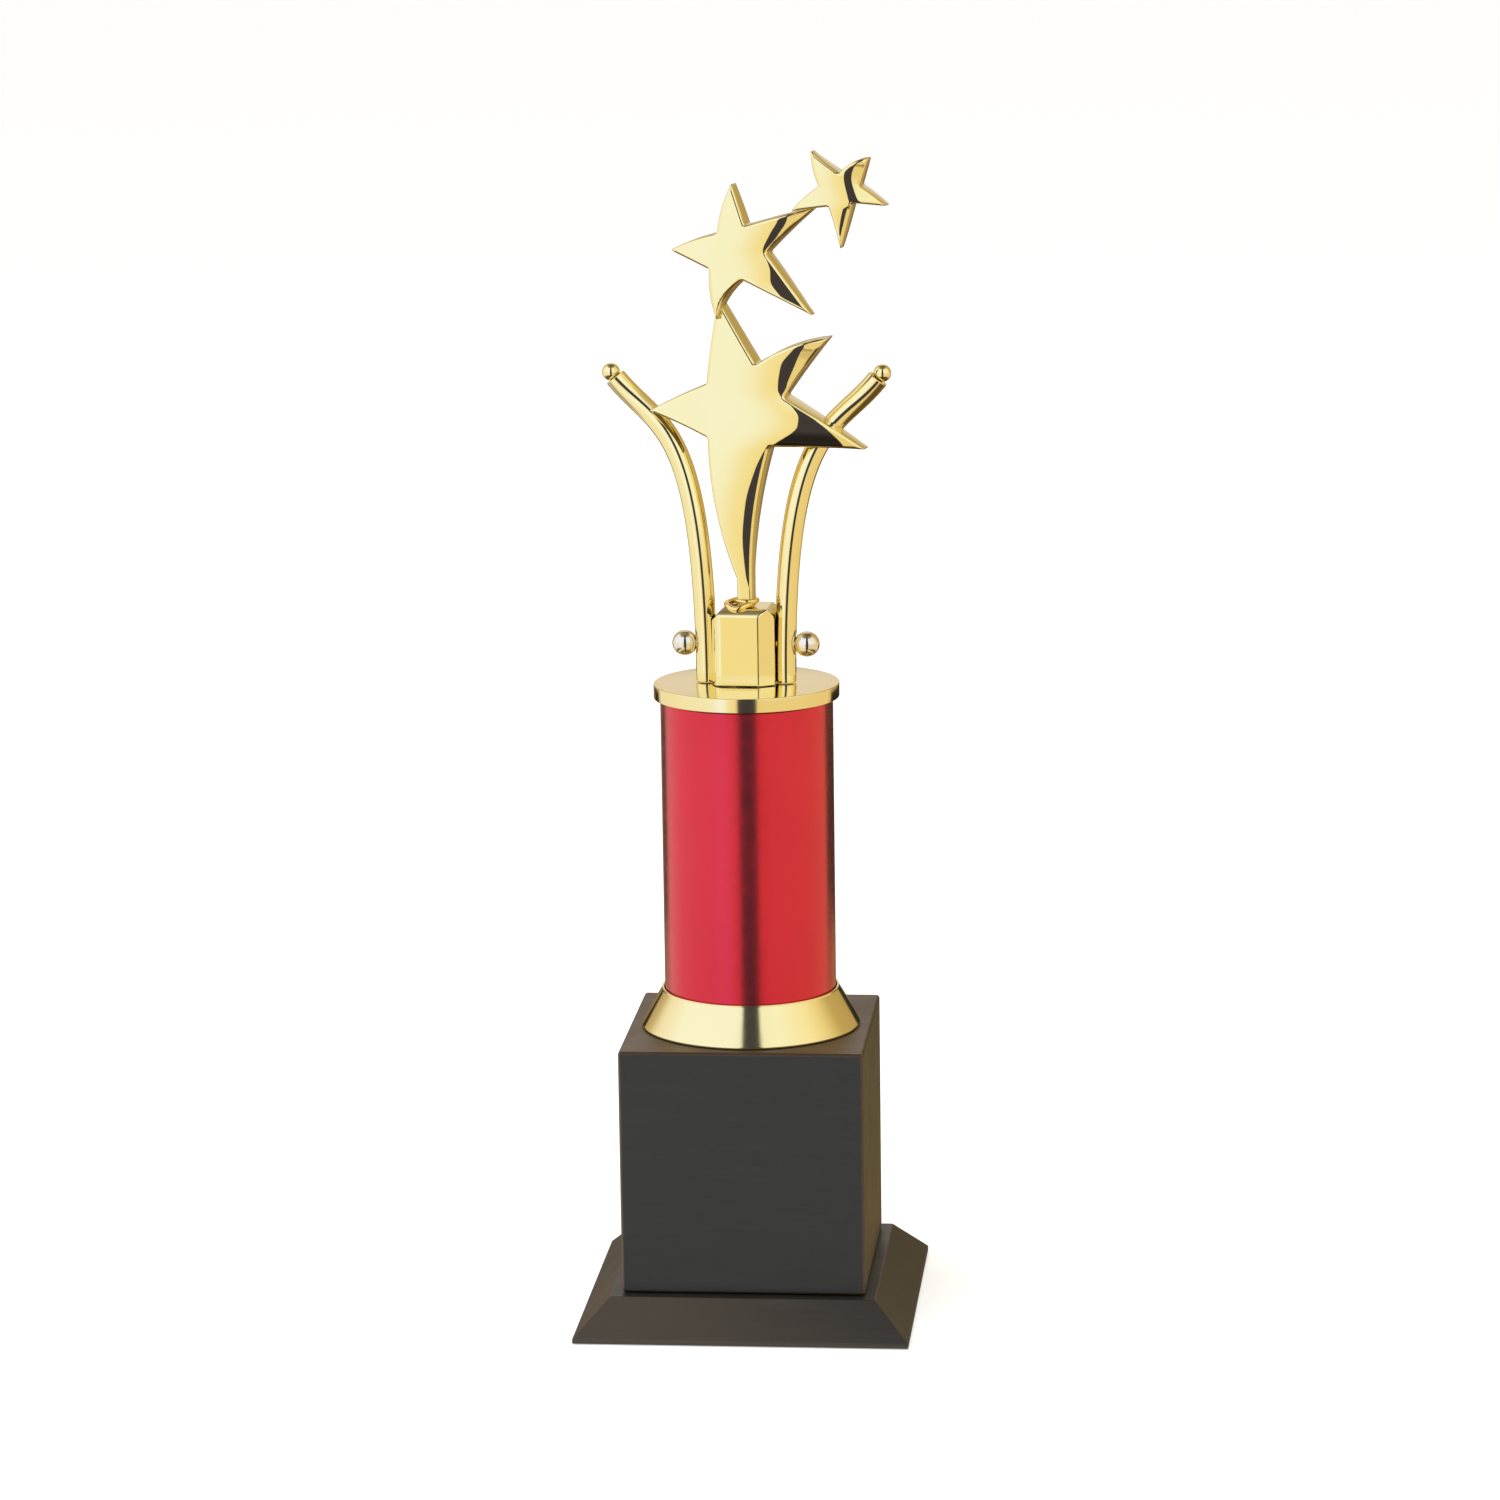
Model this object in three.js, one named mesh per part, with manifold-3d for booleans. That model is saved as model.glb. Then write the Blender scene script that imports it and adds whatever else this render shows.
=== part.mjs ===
// Star trophy: three gold star plates and two curved arms on a red column,
// held by one tie rod to a dark wooden cube and a flared wooden base.
// Millimetres, +Z up, origin at the centre of the face the trophy stands on.

import * as THREE from 'three';
import { mergeVertices } from 'three/addons/utils/BufferGeometryUtils.js';
import Module from 'manifold-3d';

const wasm = await Module();
wasm.setup();

// ---------------------------------------------------------------- driving dimensions

const GAP = 0.3; // left between pieces that touch on the real object

// Base and cube, both of wood, with the felt pad let into the underside.
const BASE_HALF = 49.25;
const BASE_LIP_TOP = 1.75; // top of the upright edge all round
const BASE_TOP = 11.75;
const BASE_TOP_HALF = 39;
const PAD_HALF = 45;
const PAD_THICK = 1.2;
const CUBE_HALF = 35.85;
const CUBE_TOP = 85;
const CUBE_CHAMFER = 0.6;

// Column: flared foot ring, red tube, its two plugs and the gold disc.
const FOOT_BOTTOM_R = 32.5;
const FOOT_TOP_R = 26.3;
const FOOT_HEIGHT = 11.8;
const FOOT_WALL = 0.8;
const TUBE_R = 25.4;
const TUBE_WALL = 1.2;
const PLUG_THICK = 8;
const DISC_R = 27.3;
const DISC_BOTTOM = 183.95;
const DISC_TOP = 188.2;
const DISC_EDGE = 0.3;

// The rod that clamps the stack, with a thin nut and a wide washer under the base.
const TIE_R = 3;
const TIE_BOTTOM = 2.2;
const TIE_TOP = 197.5;
const WELL_R = 11;
const WELL_TOP = 8.5;
const WASHER_R = 9;
const WASHER_THICK = 1.6;
const NUT_ACROSS_FLATS = 10;
const NUT_THICK = 3.2;
const DOWEL_R = 3;
const DOWEL_LENGTH = 16;
const DOWEL_X = 24;

// Figure block, and the collar on it that the stars stand on.
const FIGURE_TURN = -3; // degrees about Z, for the block and arms
const BLOCK_HALF_X = 9.3;
const BLOCK_HALF_Y = 8.5;
const BLOCK_TOP = 211;
// Chamfers along the block's top edges: [inwards, downwards].
const BLOCK_LEFT_CHAMFER = [4.6, 3.8];
const BLOCK_RIGHT_CHAMFER = [2.2, 3.3];
const BLOCK_FRONT_CHAMFER = [1.9, 2.3];
// Corners of the block's plan, from the front left round to the right.
const BLOCK_PLAN = [
  [-7.6, -8.5],
  [4.9, -8.5],
  [9.3, -5.6],
  [9.3, 5],
  [7.6, 8.5],
  [-4.9, 8.5],
  [-9.3, 5.6],
  [-9.3, -5],
];
const COLLAR_R = 5.2;
const COLLAR_HEIGHT = 1.6;

// Curved arms, their finial balls and the ball screws that hold them to the block.
const ARM_R = 3.15;
const ARM_FOOT_X = 11.7;
const ARM_END = [38.8, 8, 277];
const ARM_RISE = 266.5; // height that the upright foot of each arm aims for
const ARM_ELBOW = [25.8, 8.5, 260.7];
const FINIAL_R = 2.6;
const FINIAL_OUT = 1.9; // ball centre beyond the arm's cut end
const PEG_R = 0.9;
const PEG_LENGTH = 6;
const BALL_R = 3.75;
const BALL_X = 18.05;
const BALL_Z = 199.7;
const SHANK_R = 1.25;
const SHANK_END_X = 5;

// Star plates. Each stands half a plate in front of the one below it, and each is
// thickened at the back by a low dome.
const STAR_TURN = -8; // degrees about Z
const STAR_FORWARD = 1.2; // middle of the large star in front of the tie rod's axis
const PLATE = 5.2;
const PLATE_EDGE = 0.45;
const SLAB_SIZE = 160; // larger than any star
const LEG_FOOT = BLOCK_TOP + COLLAR_HEIGHT + 2 * GAP;
const LEG_MIDDLE_X = 0.7;
const STUD_R = 1.25;
const STUD_BOTTOM = 201.5;
const STUD_TOP = 222;

// Corners run clockwise from the top tip: [x, z, bulge], with z above the leg's foot.
// The bulge is how far the edge to the next corner bows outwards at its middle.
const LARGE_STAR = [
  [-5.9, 88, -0.1],
  [4.8, 69.1, 1.3],
  [26.7, 77.5, -0.3],
  [13.1, 59.7, 0],
  [37.3, 45.3, -0.2],
  [8.6, 45.1, -1.5],
  [3, 6, 0],
  [3, 0, 0],
  [-1.6, 0, 0],
  [-1.7, 6.3, 2],
  [-9.8, 47.4, -0.3],
  [-27.3, 55.1, 0.3],
  [-9.9, 63.1, 0.4],
];
const MEDIUM_STAR = [
  [-1, 121.6, 0],
  [2.9, 109.5, 0],
  [24, 115.5, -0.3],
  [9.1, 101.6, 0],
  [22.4, 83.9, 0],
  [1.8, 93.7, -1.2],
  [-5.9, 82, 0.9],
  [-8, 96.8, 0],
  [-19.4, 102.3, 0.5],
  [-5.5, 107.2, 0.8],
];
const SMALL_STAR = [
  [23, 131.4, -0.3],
  [31.4, 125.1, 0.9],
  [39.8, 129.6, 0],
  [37.1, 121.6, 0.2],
  [45.1, 116.1, 0],
  [35, 116.5, 0],
  [31.4, 103.3, -0.2],
  [28, 115.4, -0.1],
  [16.9, 113.9, 0.4],
  [25.2, 121.2, 0.6],
];

// Dome on the back of each star: [middle x, middle z, reach in x, reach in z, height].
const LARGE_DOME = [4, 55, 21, 44, 4.2];
const MEDIUM_DOME = [3.5, 102, 24, 23, 3.2];
const SMALL_DOME = [31.5, 118, 15, 15, 2.8];


const FINISHES = {
  gold: { color: 0xe8cd7e, roughness: 0.12, metalness: 1 },
  steel: { color: 0xc9c6bd, roughness: 0.12, metalness: 1 },
  zinc: { color: 0x9a9c9e, roughness: 0.45, metalness: 1 },
  red: { color: 0xc42a36, roughness: 0.2, metalness: 0.7 },
  wood: { color: 0x3b3833, roughness: 0.45, metalness: 0 },
  dowel: { color: 0xc9a878, roughness: 0.7, metalness: 0 },
  plug: { color: 0x2b2b2c, roughness: 0.6, metalness: 0 },
  felt: { color: 0x20362a, roughness: 0.95, metalness: 0 },
};

// ---------------------------------------------------------------- shared helpers

/** A closed geometry as a solid that can be joined and cut. */
function solidOf(geometry) {
  const bare = geometry.clone();
  bare.deleteAttribute('normal');
  bare.deleteAttribute('uv');
  const merged = mergeVertices(bare, 1e-4);
  return new wasm.Manifold(new wasm.Mesh({
    numProp: 3,
    vertProperties: new Float32Array(merged.attributes.position.array),
    triVerts: new Uint32Array(merged.index.array),
  }));
}

/** A solid's surface as a geometry. */
function geometryOf(solid) {
  const { vertProperties, triVerts } = solid.getMesh();
  const geometry = new THREE.BufferGeometry();
  geometry.setAttribute('position', new THREE.BufferAttribute(vertProperties, 3));
  geometry.setIndex(new THREE.BufferAttribute(triVerts, 1));
  geometry.computeVertexNormals();
  return geometry;
}

/** The first geometry with all the others cut out of it. */
function cut(geometry, ...tools) {
  let solid = solidOf(geometry);
  for (const tool of tools) {
    solid = solid.subtract(solidOf(tool));
  }
  return geometryOf(solid);
}

/** Several geometries joined into one. */
function join(geometry, ...others) {
  let solid = solidOf(geometry);
  for (const other of others) {
    solid = solid.add(solidOf(other));
  }
  return geometryOf(solid);
}

/** An upright round bar between two heights. */
function bar(radius, bottom, top, sides = 24) {
  const geometry = new THREE.CylinderGeometry(radius, radius, top - bottom, sides);
  return geometry.rotateX(Math.PI / 2).translate(0, 0, (top + bottom) / 2);
}

/** A profile of [radius, z] points turned about the Z axis, outer side first and upwards. */
function turned(profile, sides = 48) {
  const points = profile.map(([radius, z]) => new THREE.Vector2(radius, z));
  return new THREE.LatheGeometry(points, sides).rotateX(Math.PI / 2);
}

/** An upright box with chamfered edges, centred on the Z axis. */
function chamferedBox(half, bottom, top, chamfer) {
  const flat = half - chamfer;
  const corners = [[half, flat], [flat, half], [-flat, half], [-half, flat],
    [-half, -flat], [-flat, -half], [flat, -half], [half, -flat]];
  const shape = new THREE.Shape(corners.map(([x, y]) => new THREE.Vector2(x, y)));
  const geometry = new THREE.ExtrudeGeometry(shape, {
    depth: top - bottom - 2 * chamfer,
    bevelThickness: chamfer,
    bevelSize: chamfer,
    bevelOffset: -chamfer,
    bevelSegments: 1,
  });
  return geometry.translate(0, 0, bottom + chamfer);
}

/** A straight-sided block with the given outline, between two heights. */
function prism(corners, bottom, top) {
  const shape = new THREE.Shape(corners.map(([x, y]) => new THREE.Vector2(x, y)));
  const geometry = new THREE.ExtrudeGeometry(shape, { depth: top - bottom, bevelEnabled: false });
  return geometry.translate(0, 0, bottom);
}

/** A named piece of the trophy. */
function piece(name, geometry, finish) {
  const mesh = new THREE.Mesh(geometry, new THREE.MeshStandardMaterial(FINISHES[finish]));
  mesh.name = name;
  return mesh;
}

// ---------------------------------------------------------------- base, cube and felt

/** Frustum with an upright lip, recessed below for the pad and bored for the tie rod. */
function baseGeometry() {
  const rootTwo = Math.SQRT2;
  const flareHeight = BASE_TOP - BASE_LIP_TOP;
  const topR = BASE_TOP_HALF * rootTwo;
  const bottomR = BASE_HALF * rootTwo;
  const flare = new THREE.CylinderGeometry(topR, bottomR, flareHeight, 4)
    .rotateX(Math.PI / 2)
    .rotateZ(Math.PI / 4)
    .translate(0, 0, BASE_LIP_TOP + flareHeight / 2);
  const lip = new THREE.BoxGeometry(2 * BASE_HALF, 2 * BASE_HALF, BASE_LIP_TOP - GAP)
    .translate(0, 0, (BASE_LIP_TOP + GAP) / 2);
  const recessHalf = PAD_HALF + GAP;
  const recessHeight = PAD_THICK + GAP;
  const recess = new THREE.BoxGeometry(2 * recessHalf, 2 * recessHalf, 2 * recessHeight);
  return cut(
    join(flare, lip),
    recess,
    bar(WELL_R, 0, WELL_TOP, 32),
    bar(TIE_R + GAP, 0, BASE_TOP + 1),
    ...dowels(DOWEL_R + GAP, GAP),
  );
}

/** The two dowels between base and cube, grown by a margin at both ends. */
function dowels(radius, margin) {
  const middle = BASE_TOP - 1;
  const reach = DOWEL_LENGTH / 2 + margin;
  return [-DOWEL_X, DOWEL_X].map((x) => {
    const dowel = bar(radius, middle - reach, middle + reach, 16);
    return dowel.translate(x, 0, 0);
  });
}

function cubeGeometry() {
  return cut(
    chamferedBox(CUBE_HALF, BASE_TOP + GAP, CUBE_TOP, CUBE_CHAMFER),
    bar(TIE_R + 1, BASE_TOP, CUBE_TOP + 1),
    ...dowels(DOWEL_R + GAP, GAP),
  );
}

function padGeometry() {
  const pad = new THREE.BoxGeometry(2 * PAD_HALF, 2 * PAD_HALF, PAD_THICK);
  return pad.translate(0, 0, PAD_THICK / 2);
}

function stand() {
  const group = new THREE.Group();
  const [leftDowel, rightDowel] = dowels(DOWEL_R, 0);
  group.add(
    piece('felt_pad', padGeometry(), 'felt'),
    piece('flared_base', baseGeometry(), 'wood'),
    piece('wooden_cube', cubeGeometry(), 'wood'),
    piece('left_dowel', leftDowel, 'dowel'),
    piece('right_dowel', rightDowel, 'dowel'),
  );
  return group;
}

// ---------------------------------------------------------------- tie rod, washer and nut

function washerGeometry(top) {
  const washer = bar(WASHER_R, top - WASHER_THICK, top, 32);
  return cut(washer, bar(TIE_R + GAP, top - WASHER_THICK - 1, top + 1));
}

function nutGeometry(top) {
  const cornerR = NUT_ACROSS_FLATS / 2 / Math.cos(Math.PI / 6);
  const nut = bar(cornerR, top - NUT_THICK, top, 6);
  return cut(nut, bar(TIE_R + GAP, top - NUT_THICK - 1, top + 1));
}

function clamp() {
  const group = new THREE.Group();
  const washerTop = WELL_TOP - GAP;
  const nutTop = washerTop - WASHER_THICK - GAP;
  group.add(
    piece('tie_rod', bar(TIE_R, TIE_BOTTOM, TIE_TOP), 'zinc'),
    piece('tie_rod_washer', washerGeometry(washerTop), 'zinc'),
    piece('tie_rod_nut', nutGeometry(nutTop), 'zinc'),
  );
  return group;
}

// ---------------------------------------------------------------- column

/** Thin spun ring, wide at the foot, whose lip fits round the tube. */
function footRingGeometry() {
  const bottom = CUBE_TOP + GAP;
  const top = CUBE_TOP + FOOT_HEIGHT;
  const innerTop = TUBE_R + GAP;
  return turned([
    [FOOT_BOTTOM_R - FOOT_WALL, bottom],
    [FOOT_BOTTOM_R, bottom],
    [FOOT_TOP_R, top - 0.4],
    [FOOT_TOP_R - 0.2, top],
    [innerTop, top],
    [innerTop, top - 1.6],
    [FOOT_BOTTOM_R - FOOT_WALL, bottom],
  ]);
}

function tubeGeometry() {
  const bottom = CUBE_TOP + GAP;
  const top = DISC_BOTTOM - GAP;
  const inner = TUBE_R - TUBE_WALL;
  return turned([[inner, bottom], [TUBE_R, bottom], [TUBE_R, top], [inner, top], [inner, bottom]]);
}

/** Round plug that centres the tube on the tie rod. */
function plugGeometry(bottom) {
  const outer = TUBE_R - TUBE_WALL - GAP;
  const inner = TIE_R + GAP;
  const top = bottom + PLUG_THICK;
  return turned([[inner, bottom], [outer, bottom], [outer, top], [inner, top], [inner, bottom]]);
}

function discGeometry() {
  const inner = TIE_R + GAP;
  return turned([
    [inner, DISC_BOTTOM],
    [DISC_R - DISC_EDGE, DISC_BOTTOM],
    [DISC_R, DISC_BOTTOM + DISC_EDGE],
    [DISC_R, DISC_TOP - DISC_EDGE],
    [DISC_R - DISC_EDGE, DISC_TOP],
    [inner, DISC_TOP],
    [inner, DISC_BOTTOM],
  ]);
}

function column() {
  const group = new THREE.Group();
  group.add(
    piece('flared_foot_ring', footRingGeometry(), 'gold'),
    piece('column_tube', tubeGeometry(), 'red'),
    piece('tube_bottom_plug', plugGeometry(CUBE_TOP + GAP), 'plug'),
    piece('tube_top_plug', plugGeometry(DISC_BOTTOM - GAP - PLUG_THICK), 'plug'),
    piece('top_disc', discGeometry(), 'gold'),
  );
  return group;
}

// ---------------------------------------------------------------- block, collar and arms

/** The line that runs up the middle of an arm. Side is -1 for left and 1 for right. */
function armLine(side) {
  const [endX, endY, endZ] = ARM_END;
  const [elbowX, elbowY, elbowZ] = ARM_ELBOW;
  return new THREE.CubicBezierCurve3(
    new THREE.Vector3(side * ARM_FOOT_X, 0, DISC_TOP + GAP),
    new THREE.Vector3(side * ARM_FOOT_X, 0, ARM_RISE),
    new THREE.Vector3(side * elbowX, elbowY, elbowZ),
    new THREE.Vector3(side * endX, endY, endZ),
  );
}

/** A level round bar along X between two distances from the axis, on one side. */
function sideBar(side, radius, from, to) {
  const geometry = new THREE.CylinderGeometry(radius, radius, to - from, 16);
  return geometry.rotateZ(Math.PI / 2).translate(side * (from + to) / 2, 0, BALL_Z);
}

/** A short bar whose middle line leaves the end of an arm, from one distance to another. */
function endBar(side, radius, from, to) {
  const line = armLine(side);
  const along = line.getTangent(1);
  const middle = line.getPoint(1).addScaledVector(along, (from + to) / 2);
  const turn = new THREE.Quaternion().setFromUnitVectors(new THREE.Vector3(0, 1, 0), along);
  return new THREE.CylinderGeometry(radius, radius, to - from, 12)
    .applyQuaternion(turn)
    .translate(middle.x, middle.y, middle.z);
}

function ball(radius, centre, across = 20, down = 12) {
  return new THREE.SphereGeometry(radius, across, down).translate(centre.x, centre.y, centre.z);
}

function finialCentre(side) {
  const line = armLine(side);
  return line.getPoint(1).addScaledVector(line.getTangent(1), FINIAL_OUT);
}

function screwCentre(side) {
  return new THREE.Vector3(side * BALL_X, 0, BALL_Z);
}

/** Round bar along the arm line, with a seat and hole for its screw and its finial. */
function armGeometry(side) {
  const section = new THREE.Shape().absarc(0, 0, ARM_R, 0, 2 * Math.PI);
  const rod = new THREE.ExtrudeGeometry(section, {
    steps: 24,
    curveSegments: 6,
    extrudePath: armLine(side),
  });
  return cut(
    rod,
    ball(BALL_R + GAP, screwCentre(side)),
    sideBar(side, SHANK_R + GAP, SHANK_END_X, BALL_X),
    ball(FINIAL_R + GAP, finialCentre(side)),
    endBar(side, PEG_R + GAP, -PEG_LENGTH - GAP, FINIAL_OUT),
  );
}

function finialGeometry(side) {
  return join(
    ball(FINIAL_R, finialCentre(side), 16, 10),
    endBar(side, PEG_R, -PEG_LENGTH, FINIAL_OUT),
  );
}

function ballScrewGeometry(side) {
  return join(ball(BALL_R, screwCentre(side)), sideBar(side, SHANK_R, SHANK_END_X, BALL_X));
}

/** Block whose plan, front view and side view each have their own outline. */
function blockGeometry() {
  const bottom = DISC_TOP + GAP;
  const reach = 2 * BLOCK_HALF_X;
  const [leftIn, leftDown] = BLOCK_LEFT_CHAMFER;
  const [rightIn, rightDown] = BLOCK_RIGHT_CHAMFER;
  const [frontIn, frontDown] = BLOCK_FRONT_CHAMFER;
  const front = [
    [-BLOCK_HALF_X, bottom],
    [BLOCK_HALF_X, bottom],
    [BLOCK_HALF_X, BLOCK_TOP - rightDown],
    [BLOCK_HALF_X - rightIn, BLOCK_TOP],
    [-BLOCK_HALF_X + leftIn, BLOCK_TOP],
    [-BLOCK_HALF_X, BLOCK_TOP - leftDown],
  ];
  const side = [
    [-BLOCK_HALF_Y, bottom],
    [BLOCK_HALF_Y, bottom],
    [BLOCK_HALF_Y, BLOCK_TOP - frontDown],
    [BLOCK_HALF_Y - frontIn, BLOCK_TOP],
    [-BLOCK_HALF_Y + frontIn, BLOCK_TOP],
    [-BLOCK_HALF_Y, BLOCK_TOP - frontDown],
  ];
  const alongX = new THREE.Vector3(1, 0, 0);
  const alongY = new THREE.Vector3(0, 1, 0);
  const alongZ = new THREE.Vector3(0, 0, 1);
  const frontPrism = prism(front, -reach, reach).rotateX(Math.PI / 2);
  const sidePrism = prism(side, -reach, reach)
    .applyMatrix4(new THREE.Matrix4().makeBasis(alongY, alongZ, alongX));
  const body = solidOf(prism(BLOCK_PLAN, bottom, BLOCK_TOP))
    .intersect(solidOf(frontPrism))
    .intersect(solidOf(sidePrism));
  const saddles = [-ARM_FOOT_X, ARM_FOOT_X].map((x) => {
    const saddle = bar(ARM_R + GAP, bottom - 1, BLOCK_TOP + 1);
    return saddle.translate(x, 0, 0);
  });
  const studHole = stud(STUD_R + GAP, STUD_BOTTOM - GAP);
  return cut(
    geometryOf(body),
    ...saddles,
    sideBar(-1, SHANK_R + GAP, SHANK_END_X - GAP, BALL_X),
    sideBar(1, SHANK_R + GAP, SHANK_END_X - GAP, BALL_X),
    bar(TIE_R + GAP, bottom - 1, TIE_TOP + GAP),
    studHole.rotateZ(THREE.MathUtils.degToRad(STAR_TURN - FIGURE_TURN)),
  );
}

/** The upright stud from the block into the star's leg, in the stars' own frame. */
function stud(radius, bottom) {
  return bar(radius, bottom, STUD_TOP, 16).translate(LEG_MIDDLE_X, -STAR_FORWARD, 0);
}

/** Round-edged ring between the block and the leg of the large star. */
function collarGeometry() {
  const inner = STUD_R + GAP;
  const bottom = BLOCK_TOP + GAP;
  const radius = COLLAR_HEIGHT / 2;
  const roundR = COLLAR_R - radius;
  const edge = [];
  for (let step = 0; step <= 6; step += 1) {
    const angle = -Math.PI / 2 + (Math.PI * step) / 6;
    edge.push([
      roundR + radius * Math.cos(angle),
      bottom + radius + radius * Math.sin(angle),
    ]);
  }
  return turned([[inner, bottom], ...edge, [inner, bottom + COLLAR_HEIGHT], [inner, bottom]], 32)
    .translate(LEG_MIDDLE_X, -STAR_FORWARD, 0);
}

function figureFoot() {
  const group = new THREE.Group();
  group.rotation.z = THREE.MathUtils.degToRad(FIGURE_TURN);
  group.add(piece('figure_block', blockGeometry(), 'gold'));
  for (const [name, side] of [['left', -1], ['right', 1]]) {
    group.add(
      piece(`${name}_arm_rod`, armGeometry(side), 'gold'),
      piece(`${name}_arm_finial`, finialGeometry(side), 'gold'),
      piece(`${name}_ball_screw`, ballScrewGeometry(side), 'steel'),
    );
  }
  return group;
}

// ---------------------------------------------------------------- stars

/** Flat shape through the corners, with each edge bowed by its bulge. */
function starShape(corners) {
  const shape = new THREE.Shape();
  shape.moveTo(corners[0][0], corners[0][1]);
  corners.forEach(([x, z, bulge], index) => {
    const [nextX, nextZ] = corners[(index + 1) % corners.length];
    if (bulge === 0) {
      shape.lineTo(nextX, nextZ);
      return;
    }
    const scale = (2 * bulge) / Math.hypot(nextX - x, nextZ - z);
    const controlX = (x + nextX) / 2 - (nextZ - z) * scale;
    const controlZ = (z + nextZ) / 2 + (nextX - x) * scale;
    shape.quadraticCurveTo(controlX, controlZ, nextX, nextZ);
  });
  return shape;
}

/**
 * Upright plate with a chamfered front edge and a low dome on its back. Its middle
 * plane is set forward of the axis.
 */
function starPlate(corners, forward, [domeX, domeZ, reachX, reachZ, domeHeight]) {
  const front = forward + PLATE / 2;
  const thickest = PLATE + domeHeight;
  const outline = new THREE.ExtrudeGeometry(starShape(corners), {
    depth: thickest,
    bevelThickness: PLATE_EDGE,
    bevelSize: PLATE_EDGE,
    bevelOffset: -PLATE_EDGE,
    bevelSegments: 1,
    curveSegments: 5,
  });
  outline.translate(0, 0, front - thickest - PLATE_EDGE);
  const slab = new THREE.BoxGeometry(SLAB_SIZE, SLAB_SIZE, PLATE + 1);
  slab.translate(0, SLAB_SIZE / 2 - 1, forward + 1 / 2);
  // The ellipsoid is centred in the front face and has its reach where it meets the flat back.
  const share = Math.sqrt(1 - (PLATE / thickest) ** 2);
  const dome = new THREE.SphereGeometry(1, 48, 24)
    .scale(reachX / share, reachZ / share, thickest)
    .translate(domeX, domeZ, front);
  const plate = solidOf(outline).intersect(solidOf(join(slab, dome)));
  return geometryOf(plate)
    .rotateX(Math.PI / 2)
    .translate(0, 0, LEG_FOOT);
}

/** A plate with a lap pocket in its front face, a gap wider all round than the plate laid in it. */
function withLap(lower, upper) {
  let solid = solidOf(lower);
  const tool = solidOf(upper);
  for (const [x, y, z] of [[GAP, 0, 0], [-GAP, 0, 0], [0, GAP, 0], [0, 0, GAP], [0, 0, -GAP]]) {
    solid = solid.subtract(tool.translate([x, y, z]));
  }
  return geometryOf(solid);
}

function stars() {
  const large = starPlate(LARGE_STAR, STAR_FORWARD, LARGE_DOME);
  const medium = starPlate(MEDIUM_STAR, STAR_FORWARD + PLATE / 2, MEDIUM_DOME);
  const small = starPlate(SMALL_STAR, STAR_FORWARD + PLATE, SMALL_DOME);
  const studHole = stud(STUD_R + GAP, LEG_FOOT - 1);
  const group = new THREE.Group();
  group.rotation.z = THREE.MathUtils.degToRad(STAR_TURN);
  group.add(
    piece('leg_collar', collarGeometry(), 'gold'),
    piece('large_star', cut(withLap(large, medium), studHole), 'gold'),
    piece('medium_star', withLap(medium, small), 'gold'),
    piece('small_star', small, 'gold'),
    piece('leg_stud', stud(STUD_R, STUD_BOTTOM), 'zinc'),
  );
  return group;
}

// ---------------------------------------------------------------- the trophy

const trophy = new THREE.Group();
trophy.add(stand(), clamp(), column(), figureFoot(), stars());

export default trophy;
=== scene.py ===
"""Star trophy: three gold stars and two curved arms on a red column, over a dark wooden cube and base.

Lengths in the tables are millimetres, in the frame of the CAD model, and become metres in add_piece().
"""

import math

import bmesh
import bpy
import numpy as np
from mathutils import Matrix, Vector
from mathutils.geometry import delaunay_2d_cdt


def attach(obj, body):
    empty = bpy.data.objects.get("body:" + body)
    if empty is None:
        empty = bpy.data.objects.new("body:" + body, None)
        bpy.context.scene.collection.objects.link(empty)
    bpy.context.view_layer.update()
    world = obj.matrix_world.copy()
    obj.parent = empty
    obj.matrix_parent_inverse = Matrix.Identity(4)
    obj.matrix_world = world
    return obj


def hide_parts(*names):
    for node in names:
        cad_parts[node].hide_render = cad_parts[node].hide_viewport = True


MM = 0.001

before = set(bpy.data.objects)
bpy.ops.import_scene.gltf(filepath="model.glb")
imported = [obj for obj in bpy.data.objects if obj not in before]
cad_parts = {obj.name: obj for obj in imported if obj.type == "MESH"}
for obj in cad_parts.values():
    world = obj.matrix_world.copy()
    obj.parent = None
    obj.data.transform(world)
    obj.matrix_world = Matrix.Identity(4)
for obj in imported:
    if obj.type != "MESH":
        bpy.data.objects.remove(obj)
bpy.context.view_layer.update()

# ---------------------------------------------------------------- camera

CAMERA_PLACE = Vector((0.14419, -1.49460, 0.47320))
CAMERA_TARGET = Vector((0.00077, 0.0, 0.16775))
CAMERA_ROLL = math.radians(-0.80)
CAMERA_LENS = 124.95
CAMERA_AZIMUTH = 5.48  # degrees


def make_camera():
    data = bpy.data.cameras.new("camera")
    data.lens = CAMERA_LENS
    data.sensor_width = 36
    data.clip_start = 0.05
    data.clip_end = 40
    camera = bpy.data.objects.new("camera", data)
    bpy.context.scene.collection.objects.link(camera)
    back = (CAMERA_PLACE - CAMERA_TARGET).normalized()
    level = Vector((0, 0, 1)).cross(back).normalized()
    upright = back.cross(level)
    right = level * math.cos(CAMERA_ROLL) + upright * math.sin(CAMERA_ROLL)
    up = back.cross(right)
    facing = Matrix((right, up, back)).transposed().to_4x4()
    camera.matrix_world = Matrix.Translation(CAMERA_PLACE) @ facing
    bpy.context.scene.camera = camera


make_camera()

# ---------------------------------------------------------------- studio

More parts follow.
